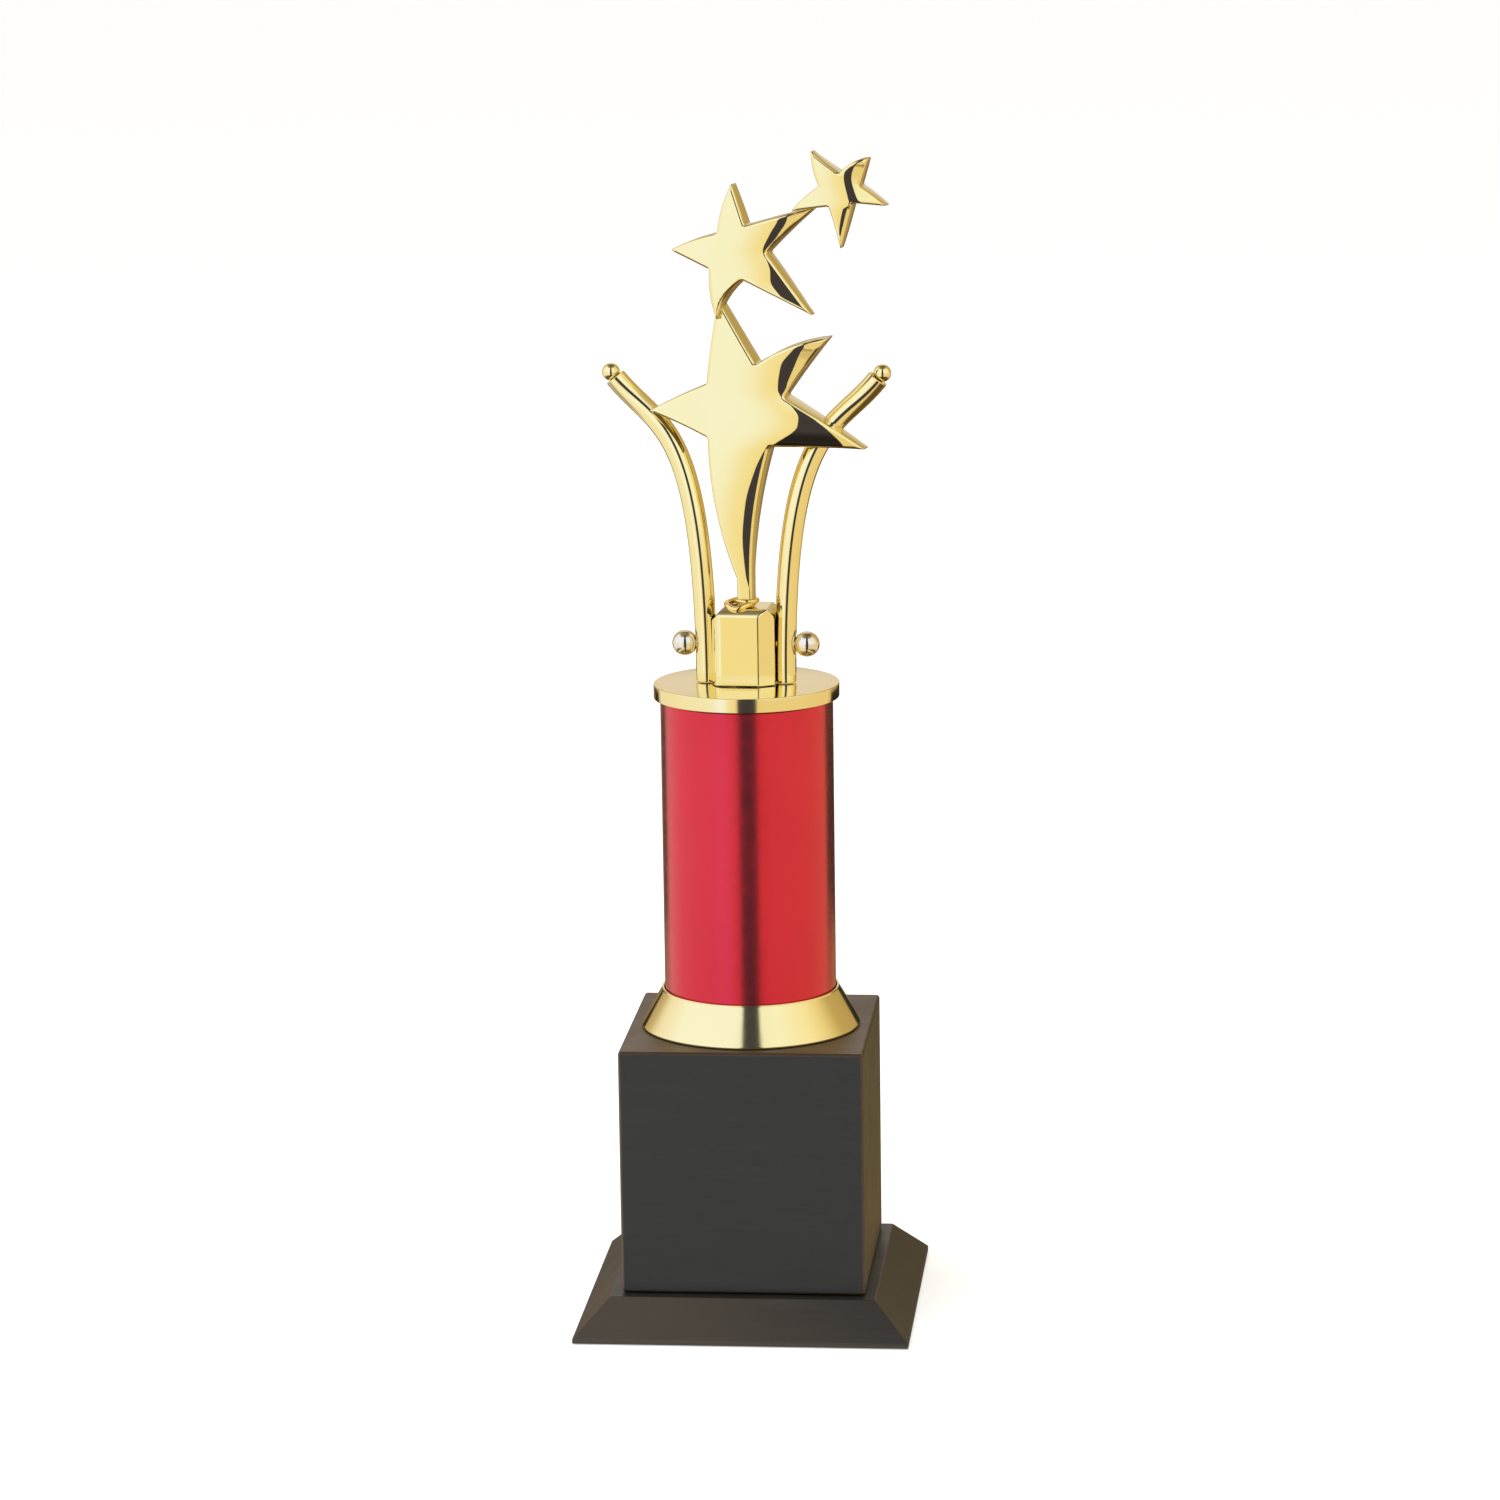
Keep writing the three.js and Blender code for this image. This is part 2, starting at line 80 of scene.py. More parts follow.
# Colour of the studio all round, by degrees to the right of the way to the camera. Two soft
# boxes stand to the left and right of a dark gap. One ring is for the light from below the
# horizon, and one for the light from above it.
GAP_DARK = (0.055, 0.052, 0.085)
DEEP_BROWN = (0.24, 0.165, 0.085)
LOW_RING = [
    (-180, DEEP_BROWN), (-162, DEEP_BROWN), (-150, (0.48, 0.36, 0.18)),
    (-138, (0.60, 0.50, 0.31)), (-134, (0.92, 0.90, 0.82)), (-90, (0.99, 0.98, 0.94)),
    (-45, (1.0, 1.02, 1.05)), (-35, (1.02, 1.13, 1.50)), (-28, (1.01, 1.11, 1.38)),
    (-23, (0.985, 0.94, 0.78)), (-18, (0.98, 0.90, 0.63)), (-12.0, (0.96, 0.84, 0.53)),
    (-11.2, GAP_DARK), (11.2, GAP_DARK),
    (12.0, (0.89, 0.77, 0.48)), (20, (0.90, 0.78, 0.50)), (60, (0.90, 0.77, 0.50)),
    (122, (0.87, 0.71, 0.44)), (130, (0.52, 0.39, 0.17)), (156, (0.46, 0.34, 0.14)),
    (164, DEEP_BROWN), (180, DEEP_BROWN),
]
HIGH_RING = [
    (-180, (0.81, 0.73, 0.65)), (-165, (0.78, 0.70, 0.61)), (-150, (0.52, 0.40, 0.21)),
    (-136, (0.60, 0.50, 0.32)), (-122, (0.95, 0.92, 0.88)), (-90, (1.04, 1.14, 1.42)),
    (-20, (1.04, 1.14, 1.40)), (-12.0, (1.02, 1.10, 1.25)), (-11.0, GAP_DARK), (11.0, GAP_DARK),
    (12.0, (1.00, 1.08, 1.15)), (35, (1.03, 1.12, 1.22)), (75, (1.02, 0.98, 0.80)),
    (95, (0.90, 0.78, 0.50)), (115, (0.58, 0.45, 0.21)), (156, (0.48, 0.37, 0.16)),
    (168, (0.78, 0.70, 0.61)), (180, (0.81, 0.73, 0.65)),
]
RING_CHANGE = (-0.10, 0.16)  # sines of the heights between which one ring gives way to the other
# Share of that colour, by the sine of the height above the horizon.
STUDIO_HEIGHT = [
    (-1.0, (0.13, 0.10, 0.07)), (-0.70, (0.15, 0.115, 0.08)), (-0.54, (1.0, 1.0, 1.0)),
    (0.76, (1.0, 1.0, 1.0)), (0.90, (0.30, 0.25, 0.18)), (1.0, (0.20, 0.155, 0.10)),
]

# Metres. The flags' ends are in degrees to the right of the way to the camera.
FLAGS = (("right_flag", 127, 163), ("left_flag", -155, -138))
FLAG_DISTANCE = 0.5
FLAG_HEIGHT = 0.105
FLAG_PANELS = 4
FLOOR_REACH = 9.0
FLOOR_GLOW = 0.42
WALL_R = 8.0
LAMP_PLACE = (-0.3, -0.4, 1.9)
LAMP_AIM = Vector((0, 0, 0.1))
LAMP_SIZE = 1.6
LAMP_WATTS = 18


def ramp_node(nodes, stops):
    """A colour ramp with the given (place from 0 to 1, colour) stops."""
    ramp = nodes.new("ShaderNodeValToRGB")
    elements = ramp.color_ramp.elements
    while len(elements) > 1:
        elements.remove(elements[0])
    elements[0].position = stops[0][0]
    elements[0].color = (*stops[0][1], 1)
    for place, colour in stops[1:]:
        elements.new(place).color = (*colour, 1)
    return ramp


def math_node(tree, operation, first, second=None):
    node = tree.nodes.new("ShaderNodeMath")
    node.operation = operation
    for socket, value in zip(node.inputs, (first, second)):
        if value is None:
            continue
        if isinstance(value, (int, float)):
            socket.default_value = value
        else:
            tree.links.new(value, socket)
    return node.outputs[0]


def make_world():
    world = bpy.data.worlds.new("studio")
    bpy.context.scene.world = world
    world.use_nodes = True
    tree = world.node_tree
    tree.nodes.clear()
    nodes, links = tree.nodes, tree.links
    direction = nodes.new("ShaderNodeTexCoord").outputs["Generated"]
    turn = nodes.new("ShaderNodeVectorRotate")
    turn.rotation_type = "Z_AXIS"
    turn.inputs["Angle"].default_value = math.radians(-CAMERA_AZIMUTH)
    links.new(direction, turn.inputs["Vector"])
    parts = nodes.new("ShaderNodeSeparateXYZ")
    links.new(turn.outputs[0], parts.inputs[0])
    towards = math_node(tree, "MULTIPLY", parts.outputs[1], -1.0)
    angle = math_node(tree, "ARCTAN2", parts.outputs[0], towards)
    place = math_node(tree, "ADD", math_node(tree, "DIVIDE", angle, 2 * math.pi), 0.5)
    rings = nodes.new("ShaderNodeMix")
    rings.data_type = "RGBA"
    for socket, ring in (("A", LOW_RING), ("B", HIGH_RING)):
        ramp = ramp_node(nodes, [(a / 360 + 0.5, c) for a, c in ring])
        links.new(place, ramp.inputs[0])
        links.new(ramp.outputs[0], rings.inputs[socket])
    change = nodes.new("ShaderNodeMapRange")
    change.inputs["From Min"].default_value, change.inputs["From Max"].default_value = RING_CHANGE
    links.new(parts.outputs[2], change.inputs["Value"])
    links.new(change.outputs[0], rings.inputs["Factor"])
    height = math_node(tree, "ADD", math_node(tree, "MULTIPLY", parts.outputs[2], 0.5), 0.5)
    height_ramp = ramp_node(nodes, [(s / 2 + 0.5, share) for s, share in STUDIO_HEIGHT])
    links.new(height, height_ramp.inputs[0])
    product = nodes.new("ShaderNodeMix")
    product.data_type = "RGBA"
    product.blend_type = "MULTIPLY"
    product.inputs["Factor"].default_value = 1
    links.new(rings.outputs["Result"], product.inputs["A"])
    links.new(height_ramp.outputs[0], product.inputs["B"])
    background = nodes.new("ShaderNodeBackground")
    links.new(product.outputs["Result"], background.inputs["Color"])
    output = nodes.new("ShaderNodeOutputWorld")
    links.new(background.outputs[0], output.inputs["Surface"])


def make_flags():
    """Two low black flags behind the trophy, which only reflections see."""
    black = bpy.data.materials.new("black_flag")
    black.use_nodes = True
    shader = black.node_tree.nodes["Principled BSDF"]
    shader.inputs["Base Color"].default_value = (0.02, 0.018, 0.017, 1)
    shader.inputs["Roughness"].default_value = 1.0
    shader.inputs["Specular IOR Level"].default_value = 0.0
    flags = []
    for name, first, last in FLAGS:
        corners = []
        for degrees in np.linspace(first, last, FLAG_PANELS + 1):
            angle = math.radians(degrees + CAMERA_AZIMUTH)
            x, y = FLAG_DISTANCE * math.sin(angle), -FLAG_DISTANCE * math.cos(angle)
            corners += [(x, y, 0.0), (x, y, FLAG_HEIGHT)]
        panels = [(2 * k, 2 * k + 2, 2 * k + 3, 2 * k + 1) for k in range(FLAG_PANELS)]
        mesh = bpy.data.meshes.new(name)
        mesh.from_pydata(corners, [], panels)
        mesh.materials.append(black)
        flag = bpy.data.objects.new(name, mesh)
        for ray in ("camera", "diffuse", "transmission", "volume_scatter", "shadow"):
            setattr(flag, f"visible_{ray}", False)
        flags.append(flag)
    return flags


def make_stage():
    """A pale floor, and round it a white cyclorama that only the camera sees."""
    floor_mesh = bpy.data.meshes.new("floor")
    signs = ((-1, -1), (1, -1), (1, 1), (-1, 1))
    corners = [(x * FLOOR_REACH, y * FLOOR_REACH, 0) for x, y in signs]
    floor_mesh.from_pydata(corners, [], [(0, 1, 2, 3)])
    floor = bpy.data.objects.new("floor", floor_mesh)
    floor.visible_glossy = False
    paint = bpy.data.materials.new("pale_floor")
    paint.use_nodes = True
    shader = paint.node_tree.nodes["Principled BSDF"]
    shader.inputs["Base Color"].default_value = (0.93, 0.93, 0.93, 1)
    shader.inputs["Roughness"].default_value = 0.9
    shader.inputs["Specular IOR Level"].default_value = 0.0
    shader.inputs["Emission Color"].default_value = (1, 1, 1, 1)
    shader.inputs["Emission Strength"].default_value = FLOOR_GLOW
    floor_mesh.materials.append(paint)

    wall_mesh = bpy.data.meshes.new("cyclorama")
    shape = bmesh.new()
    bmesh.ops.create_icosphere(shape, subdivisions=4, radius=WALL_R)
    shape.to_mesh(wall_mesh)
    shape.free()
    wall = bpy.data.objects.new("cyclorama", wall_mesh)
    white = bpy.data.materials.new("white_wall")
    white.use_nodes = True
    tree = white.node_tree
    tree.nodes.clear()
    glow = tree.nodes.new("ShaderNodeEmission")
    glow.inputs["Color"].default_value = (1, 1, 1, 1)
    glow.inputs["Strength"].default_value = 1.0
    output = tree.nodes.new("ShaderNodeOutputMaterial")
    tree.links.new(glow.outputs[0], output.inputs["Surface"])
    wall_mesh.materials.append(white)
    for ray in ("diffuse", "glossy", "transmission", "volume_scatter", "shadow"):
        setattr(wall, f"visible_{ray}", False)
    for thing in (floor, wall, *make_flags()):
        bpy.context.scene.collection.objects.link(thing)

    lamp_data = bpy.data.lights.new("overhead", "AREA")
    lamp_data.shape = "DISK"
    lamp_data.size = LAMP_SIZE
    lamp_data.energy = LAMP_WATTS
    lamp = bpy.data.objects.new("overhead", lamp_data)
    lamp.location = LAMP_PLACE
    aim = LAMP_AIM - lamp.location
    lamp.rotation_mode = "QUATERNION"
    lamp.rotation_quaternion = aim.to_track_quat("-Z", "Y")
    lamp.visible_glossy = False
    bpy.context.scene.collection.objects.link(lamp)


make_world()
make_stage()
bpy.context.scene.view_settings.view_transform = "Standard"

# ---------------------------------------------------------------- materials


class Paint:
    """A material under construction, with short calls for its nodes."""

    def __init__(self, name):
        self.material = bpy.data.materials.new(name)
        self.material.use_nodes = True
        self.tree = self.material.node_tree
        self.shader = self.tree.nodes["Principled BSDF"]
        self.place = self.tree.nodes.new("ShaderNodeTexCoord").outputs["Object"]

    def set(self, **values):
        for name, value in values.items():
            socket = self.shader.inputs[name.replace("_", " ")]
            if isinstance(value, bpy.types.NodeSocket):
                self.tree.links.new(value, socket)
            else:
                socket.default_value = (*value, 1) if isinstance(value, tuple) else value

    def stretched(self, scale, turn=(0, 0, 0)):
        node = self.tree.nodes.new("ShaderNodeMapping")
        node.inputs["Scale"].default_value = scale
        node.inputs["Rotation"].default_value = turn
        self.tree.links.new(self.place, node.inputs["Vector"])
        return node.outputs[0]

    def noise(self, scale, detail=2.0, roughness=0.5, place=None, distortion=0.0):
        node = self.tree.nodes.new("ShaderNodeTexNoise")
        node.inputs["Scale"].default_value = scale
        node.inputs["Detail"].default_value = detail
        node.inputs["Roughness"].default_value = roughness
        node.inputs["Distortion"].default_value = distortion
        self.tree.links.new(place or self.place, node.inputs["Vector"])
        return node.outputs["Fac"]

    def span(self, value, from_low, from_high, low, high):
        node = self.tree.nodes.new("ShaderNodeMapRange")
        ends = {"From Min": from_low, "From Max": from_high, "To Min": low, "To Max": high}
        for name, number in ends.items():
            node.inputs[name].default_value = number
        self.tree.links.new(value, node.inputs["Value"])
        return node.outputs[0]

    def mix(self, share, first, second):
        node = self.tree.nodes.new("ShaderNodeMix")
        node.data_type = "RGBA"
        self.tree.links.new(share, node.inputs["Factor"])
        for name, colour in (("A", first), ("B", second)):
            if isinstance(colour, tuple):
                node.inputs[name].default_value = (*colour, 1)
            else:
                self.tree.links.new(colour, node.inputs[name])
        return node.outputs["Result"]

    def sums(self, operation, first, second):
        return math_node(self.tree, operation, first, second)

    def edges(self, low, high):
        """0 on flat parts and 1 on outward edges."""
        pointiness = self.tree.nodes.new("ShaderNodeNewGeometry").outputs["Pointiness"]
        return self.span(pointiness, low, high, 0.0, 1.0)

    def bump(self, height, strength, distance):
        node = self.tree.nodes.new("ShaderNodeBump")
        node.inputs["Strength"].default_value = strength
        node.inputs["Distance"].default_value = distance
        self.tree.links.new(height, node.inputs["Height"])
        self.tree.links.new(node.outputs[0], self.shader.inputs["Normal"])


def polished_metal(name, colour, deep, low, high):
    """Plated metal: slow colour changes, fine polishing scratches, a faint wave and a painted highlight
    on outward edges.
    """
    paint = Paint(name)
    cloud = paint.span(paint.noise(38, 3), 0.3, 0.7, 0.0, 0.35)
    # Paler, creamier colour on outward edges: a painted highlight.
    painted_edge_highlight = paint.sums("MULTIPLY", paint.edges(0.53, 0.62), 0.35)
    base = paint.mix(cloud, colour, deep)
    pale = tuple(min(1.0, c * 0.5 + 0.5 * max(colour)) for c in colour)
    scratches = paint.noise(1300, 2, 0.6, paint.stretched((1.0, 1.0, 0.06), (0.5, 0.3, 0.4)))
    smudges = paint.noise(95, 4, 0.6)
    spread = paint.sums(
        "ADD", paint.sums("MULTIPLY", scratches, 0.45), paint.sums("MULTIPLY", smudges, 0.55)
    )
    paint.set(
        Base_Color=paint.mix(painted_edge_highlight, base, pale),
        Metallic=1.0,
        Roughness=paint.span(spread, 0.3, 0.7, low, high),
    )
    ripple = paint.sums("ADD", paint.noise(150, 2), paint.sums("MULTIPLY", scratches, 0.25))
    paint.bump(ripple, 0.02, 0.0004)
    return paint.material


def lacquered_tube():
    """Metallic red lacquer with a fine flake and a clear coat."""
    paint = Paint("red_lacquer")
    flake = paint.noise(4200, 1, 0.5)
    cloud = paint.noise(26, 3, 0.55, paint.stretched((1.0, 1.0, 0.5)))
    base = paint.mix(paint.span(cloud, 0.3, 0.7, 0, 1), (0.66, 0.011, 0.033), (0.74, 0.018, 0.046))
    base = paint.mix(paint.span(flake, 0.55, 0.8, 0, 0.25), base, (0.80, 0.06, 0.10))
    paint.set(
        Base_Color=base,
        Metallic=0.94,
        Roughness=paint.span(paint.noise(240, 3), 0.3, 0.7, 0.17, 0.25),
        Coat_Weight=0.75,
        Coat_Roughness=0.45,
    )
    paint.bump(flake, 0.03, 0.0001)
    return paint.material


def dark_wood(name, ground, line, edge_wear_and_highlight, low, high):
    """Dark stained wood under satin lacquer: long grain, pores, and lighter edges that are partly wear
    and partly a painted highlight.
    """
    paint = Paint(name)
    along = paint.stretched((3.0, 26.0, 26.0))
    grain = paint.noise(9, 5, 0.62, along, 0.6)
    pores = paint.noise(55, 3, 0.6, along)
    base = paint.mix(paint.span(grain, 0.35, 0.7, 0, 1), ground, line)
    dark = tuple(c * 0.45 for c in ground)
    base = paint.mix(paint.span(pores, 0.62, 0.72, 0, 0.55), base, dark)
    # Lighter colour on outward edges: partly wear, partly a painted highlight.
    base = paint.mix(paint.sums("MULTIPLY", paint.edges(0.52, 0.60), 0.55), base, edge_wear_and_highlight)
    paint.set(
        Base_Color=base,
        Roughness=paint.span(paint.noise(70, 4), 0.3, 0.7, low, high),
        Specular_IOR_Level=0.5,
    )
    paint.bump(paint.sums("ADD", paint.sums("MULTIPLY", grain, 0.6), pores), 0.12, 0.0002)
    return paint.material


def fine_grained(name, first, second, scale, rough, bump, metallic=0.0, stretch=(1, 1, 1)):
    """A plain finish with two mottled colours and a fine surface."""
    paint = Paint(name)
    mottle = paint.noise(scale, 4, 0.6, paint.stretched(stretch))
    paint.set(
        Base_Color=paint.mix(paint.span(mottle, 0.3, 0.7, 0, 1), first, second),
        Roughness=paint.span(paint.noise(scale * 2, 3), 0.3, 0.7, rough * 0.85, rough),
        Metallic=metallic,
    )
    paint.bump(mottle, bump, 0.0003)
    return paint.material


GOLD = polished_metal("polished_gold", (0.93, 0.80, 0.40), (0.91, 0.75, 0.33), 0.05, 0.09)
DISC_GOLD = polished_metal("turned_gold", (0.93, 0.79, 0.41), (0.91, 0.75, 0.35), 0.09, 0.14)
COLLAR_GOLD = polished_metal("deep_gold", (0.96, 0.73, 0.28), (0.93, 0.68, 0.22), 0.09, 0.14)
STEEL = polished_metal("polished_steel", (0.86, 0.77, 0.62), (0.79, 0.70, 0.55), 0.07, 0.12)
RED = lacquered_tube()
# The last colour of each is the lighter edge colour: partly wear, partly a painted highlight.
WOOD = dark_wood(
    "dark_wood", (0.034, 0.020, 0.008), (0.048, 0.029, 0.0125), (0.11, 0.07, 0.035), 0.38, 0.48
)
BASE_WOOD = dark_wood(
    "base_wood", (0.020, 0.0172, 0.014), (0.028, 0.0238, 0.019), (0.085, 0.062, 0.038), 0.38, 0.48
)
PANEL = dark_wood(
    "dark_panel", (0.020, 0.020, 0.018), (0.023, 0.023, 0.021), (0.05, 0.045, 0.036), 0.44, 0.52
)
FELT = fine_grained("green_felt", (0.010, 0.030, 0.018), (0.020, 0.050, 0.030), 900, 0.98, 0.9)
BEECH = fine_grained("beech", (0.52, 0.33, 0.17), (0.62, 0.43, 0.25), 60, 0.7, 0.3, stretch=(9, 9, 1))
PLASTIC = fine_grained("black_plastic", (0.018, 0.018, 0.019), (0.026, 0.026, 0.027), 500, 0.6, 0.3)
ZINC = fine_grained("zinc_plated_steel", (0.56, 0.57, 0.58), (0.66, 0.66, 0.65), 220, 0.42, 0.2, 1.0)

# ---------------------------------------------------------------- mesh helpers


def turned_by(degrees):
    """A turn about Z."""
    return Matrix.Rotation(math.radians(degrees), 4, "Z")


def add_piece(name, verts, faces, material, replaced, slot, place=None, crease=35.0, normals=None):
    """A smooth-shaded piece from millimetre points, in place of CAD nodes."""
    mesh = bpy.data.meshes.new(name)
    mesh.from_pydata([tuple(float(c) * MM for c in v) for v in verts], [], faces)
    if place is not None:
        matrix = place.copy()
        matrix.translation = matrix.translation * MM
        mesh.transform(matrix)
    shape = bmesh.new()
    shape.from_mesh(mesh)
    if normals is None:
        bmesh.ops.recalc_face_normals(shape, faces=shape.faces)
    for face in shape.faces:
        face.smooth = True
    for edge in shape.edges:
        paired = len(edge.link_faces) == 2
        edge.smooth = not (paired and edge.calc_face_angle(0) > math.radians(crease))
    shape.to_mesh(mesh)
    shape.free()
    mesh.materials.append(material)
    if normals is not None:
        spin = place.to_3x3() if place is not None else Matrix.Identity(3)
        mesh.normals_split_custom_set_from_vertices([spin @ Vector(n) for n in normals])
    piece = bpy.data.objects.new(name, mesh)
    bpy.context.scene.collection.objects.link(piece)
    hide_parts(*replaced)
    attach(piece, "root")
    return piece


def fillet(points, radii, steps=5, closed=True):
    """The line of points with its corners rounded. A radius of 0 keeps a corner."""
    count = len(points)
    made = []
    for i, point in enumerate(points):
        radius = radii[i] if hasattr(radii, "__len__") else radii
        here = Vector(point)
        if radius <= 0 or (not closed and i in (0, count - 1)):
            made.append(tuple(here))
            continue
        before, after = Vector(points[i - 1]) - here, Vector(points[(i + 1) % count]) - here
        half = before.angle(after) / 2
        back = min(radius / math.tan(half), before.length * 0.48, after.length * 0.48)
        start, end = here + before.normalized() * back, here + after.normalized() * back
        for step in range(steps + 1):
            t = step / steps
            made.append(tuple(start * (1 - t) ** 2 + here * 2 * t * (1 - t) + end * t ** 2))
    return made


def lathe(profile, sides, closed=True):
    """Points (radius, height) turned about Z. An open profile starts and ends on the axis."""
    verts, rings = [], []
    for radius, height in profile:
        if radius < 1e-6:
            rings.append([len(verts)] * sides)
            verts.append((0, 0, height))
            continue
        rings.append(list(range(len(verts), len(verts) + sides)))
        for k in range(sides):
            angle = 2 * math.pi * k / sides
            verts.append((radius * math.cos(angle), radius * math.sin(angle), height))
    pairs = list(zip(rings, rings[1:])) + ([(rings[-1], rings[0])] if closed else [])
    return verts, bridge(pairs, sides)


def bridge(pairs, sides):
    """Faces between rings of points. A ring that is all one point makes triangles."""
    faces = []
    for low, high in pairs:
        for k in range(sides):
            m = (k + 1) % sides
            corners = []
            for index in (low[k], low[m], high[m], high[k]):
                if index not in corners:
                    corners.append(index)
            if len(corners) > 2:
                faces.append(corners)
    return faces


def cap(verts, ring, point):
    """Triangles from a ring to one more point, which joins verts."""
    verts.append(tuple(point))
    last = len(verts) - 1
    return [(ring[k], ring[(k + 1) % len(ring)], last) for k in range(len(ring))]


def arc(centre, radius, start, end, steps):
    """Points on a circle between two angles in degrees."""
    angles = np.radians(np.linspace(start, end, steps + 1))
    return [(centre[0] + radius * math.cos(a), centre[1] + radius * math.sin(a)) for a in angles]


# ---------------------------------------------------------------- base, cube and felt

SHARP_FROM = 28  # degrees: sharper edges of the CAD body are rounded
SMOOTH_TO = 32  # degrees: flatter edges of the rounded body are shaded smooth
CUBE_FRONT_Y = -0.035  # metres: the panel is the face in front of this


def softened_copy(name, node, material, width):
    """A CAD body with its edges rounded."""
    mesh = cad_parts[node].data.copy()
    mesh.name = name
    mesh.materials.clear()
    shape = bmesh.new()
    shape.from_mesh(mesh)
    bmesh.ops.remove_doubles(shape, verts=shape.verts, dist=1e-6)
    bmesh.ops.dissolve_limit(shape, angle_limit=math.radians(1), verts=shape.verts, edges=shape.edges)
    inner = [edge for edge in shape.edges if len(edge.link_faces) == 2]
    sharp = [edge for edge in inner if edge.calc_face_angle(0) > math.radians(SHARP_FROM)]
    bmesh.ops.bevel(
        shape, geom=sharp, offset=width * MM, segments=3, profile=0.5, affect="EDGES",
        clamp_overlap=True,
    )
    bmesh.ops.recalc_face_normals(shape, faces=shape.faces)
    for face in shape.faces:
        face.smooth = True
    for edge in shape.edges:
        paired = len(edge.link_faces) == 2
        edge.smooth = paired and edge.calc_face_angle(0) < math.radians(SMOOTH_TO)
    shape.to_mesh(mesh)
    shape.free()
    mesh.materials.append(material)
    piece = bpy.data.objects.new(name, mesh)
    bpy.context.scene.collection.objects.link(piece)
    firm = piece.modifiers.new("firm_faces", "WEIGHTED_NORMAL")
    firm.keep_sharp = True
    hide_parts(node)
    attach(piece, "root")
    return piece


softened_copy("base_board", "flared_base", BASE_WOOD, 0.45)
cube = softened_copy("cube_block", "wooden_cube", WOOD, 0.35)
cube.data.materials.append(PANEL)
for polygon in cube.data.polygons:
    if polygon.normal.y < -0.99 and polygon.center.y < CUBE_FRONT_Y:
        polygon.material_index = 1
softened_copy("felt_sheet", "felt_pad", FELT, 0.3)

# ---------------------------------------------------------------- column

CUBE_TOP = 85.0
GAP = 0.3
TUBE_R = 25.4
TUBE_WALL = 1.2
FOOT_BOTTOM_R = 32.5
FOOT_TOP_R = 26.3
FOOT_HEIGHT = 11.8
DISC_R = 27.3
DISC_BOTTOM = 183.95
DISC_TOP = 188.2
TIE_R = 3.0
ROUND_SIDES = 160


def make_column():
    bottom = CUBE_TOP + GAP
    top = CUBE_TOP + FOOT_HEIGHT
    inner = TUBE_R + GAP
    foot = fillet(
        [(FOOT_BOTTOM_R - 0.8, bottom), (FOOT_BOTTOM_R, bottom), (FOOT_BOTTOM_R, bottom + 0.5),
         (FOOT_TOP_R, top - 0.5), (FOOT_TOP_R, top), (inner, top), (inner, top - 1.6)],
        [0.1, 0.15, 0.4, 0.4, 0.25, 0.1, 0.3], 4)
    add_piece("foot_ring", *lathe(foot, ROUND_SIDES), DISC_GOLD, ["flared_foot_ring"], "polished_gold")
    tube_top = DISC_BOTTOM - GAP
    rows = [(TUBE_R, z) for z in np.linspace(bottom + 0.3, tube_top - 0.3, 14)]
    tube = [(TUBE_R - TUBE_WALL, bottom), (TUBE_R - 0.25, bottom), *rows, (TUBE_R - 0.25, tube_top),
            (TUBE_R - TUBE_WALL, tube_top)]
    add_piece("red_tube", *lathe(tube, ROUND_SIDES), RED, ["column_tube"], "red_lacquer")
    disc = fillet(
        [(TIE_R + GAP, DISC_BOTTOM), (DISC_R, DISC_BOTTOM), (DISC_R, DISC_TOP), (TIE_R + GAP, DISC_TOP)],
        [0.1, 0.3, 0.3, 0.1], 5)
    add_piece("disc", *lathe(disc, ROUND_SIDES), DISC_GOLD, ["top_disc"], "polished_gold")


make_column()

# ---------------------------------------------------------------- block

FIGURE_TURN = -3.0  # degrees
BLOCK_BOTTOM = 188.5
BLOCK_TOP = 211.0
BLOCK_HALF_X = 9.3
BLOCK_HALF_Y = 8.5
BLOCK_FOOT_R = 0.2
# Rounded chamfers round the top: how far in, how far down, and how they curve.
LEFT_CHAMFER = (4.6, 3.8, 1.3)
RIGHT_CHAMFER = (2.2, 3.3, 1.5)
END_CHAMFER = (1.9, 2.3, 1.6)
ARM_R = 3.15
ARM_FOOT_X = 11.7
# Corners of the plan from the front left round to the right, with the radius of each upright edge.
BLOCK_PLAN = [
    ((-7.6, -BLOCK_HALF_Y), 2.6), ((4.65, -BLOCK_HALF_Y), 0), ((4.95, -8.455), 0),
    ((BLOCK_HALF_X, -5.6), 0.5), ((BLOCK_HALF_X, 5.0), 0.5), ((7.6, BLOCK_HALF_Y), 0.6),
    ((-4.9, BLOCK_HALF_Y), 0.6), ((-BLOCK_HALF_X, 5.6), 0.8), ((-BLOCK_HALF_X, -5.0), 1.2),
]


def soft_limit(value, limit, softness):
    """value, kept below limit, with a smooth turn of about softness between them."""
    gap = (limit - value) / softness
    return limit - softness * np.where(gap > 30, gap, np.log1p(np.exp(np.minimum(gap, 30))))


def dense(points, step):
    """A closed line with points at most step apart."""
    made = []
    for i, point in enumerate(points):
        here, there = np.array(point), np.array(points[(i + 1) % len(points)])
        count = max(1, math.ceil(np.linalg.norm(there - here) / step))
        made += [here + (there - here) * k / count for k in range(count)]
    return np.array(made)


def chamfer_at(chamfer, z):
    """How far the block's side has come in at height z."""
    inward, down, power = chamfer
    return inward * max(0, (z - BLOCK_TOP + down) / down) ** power


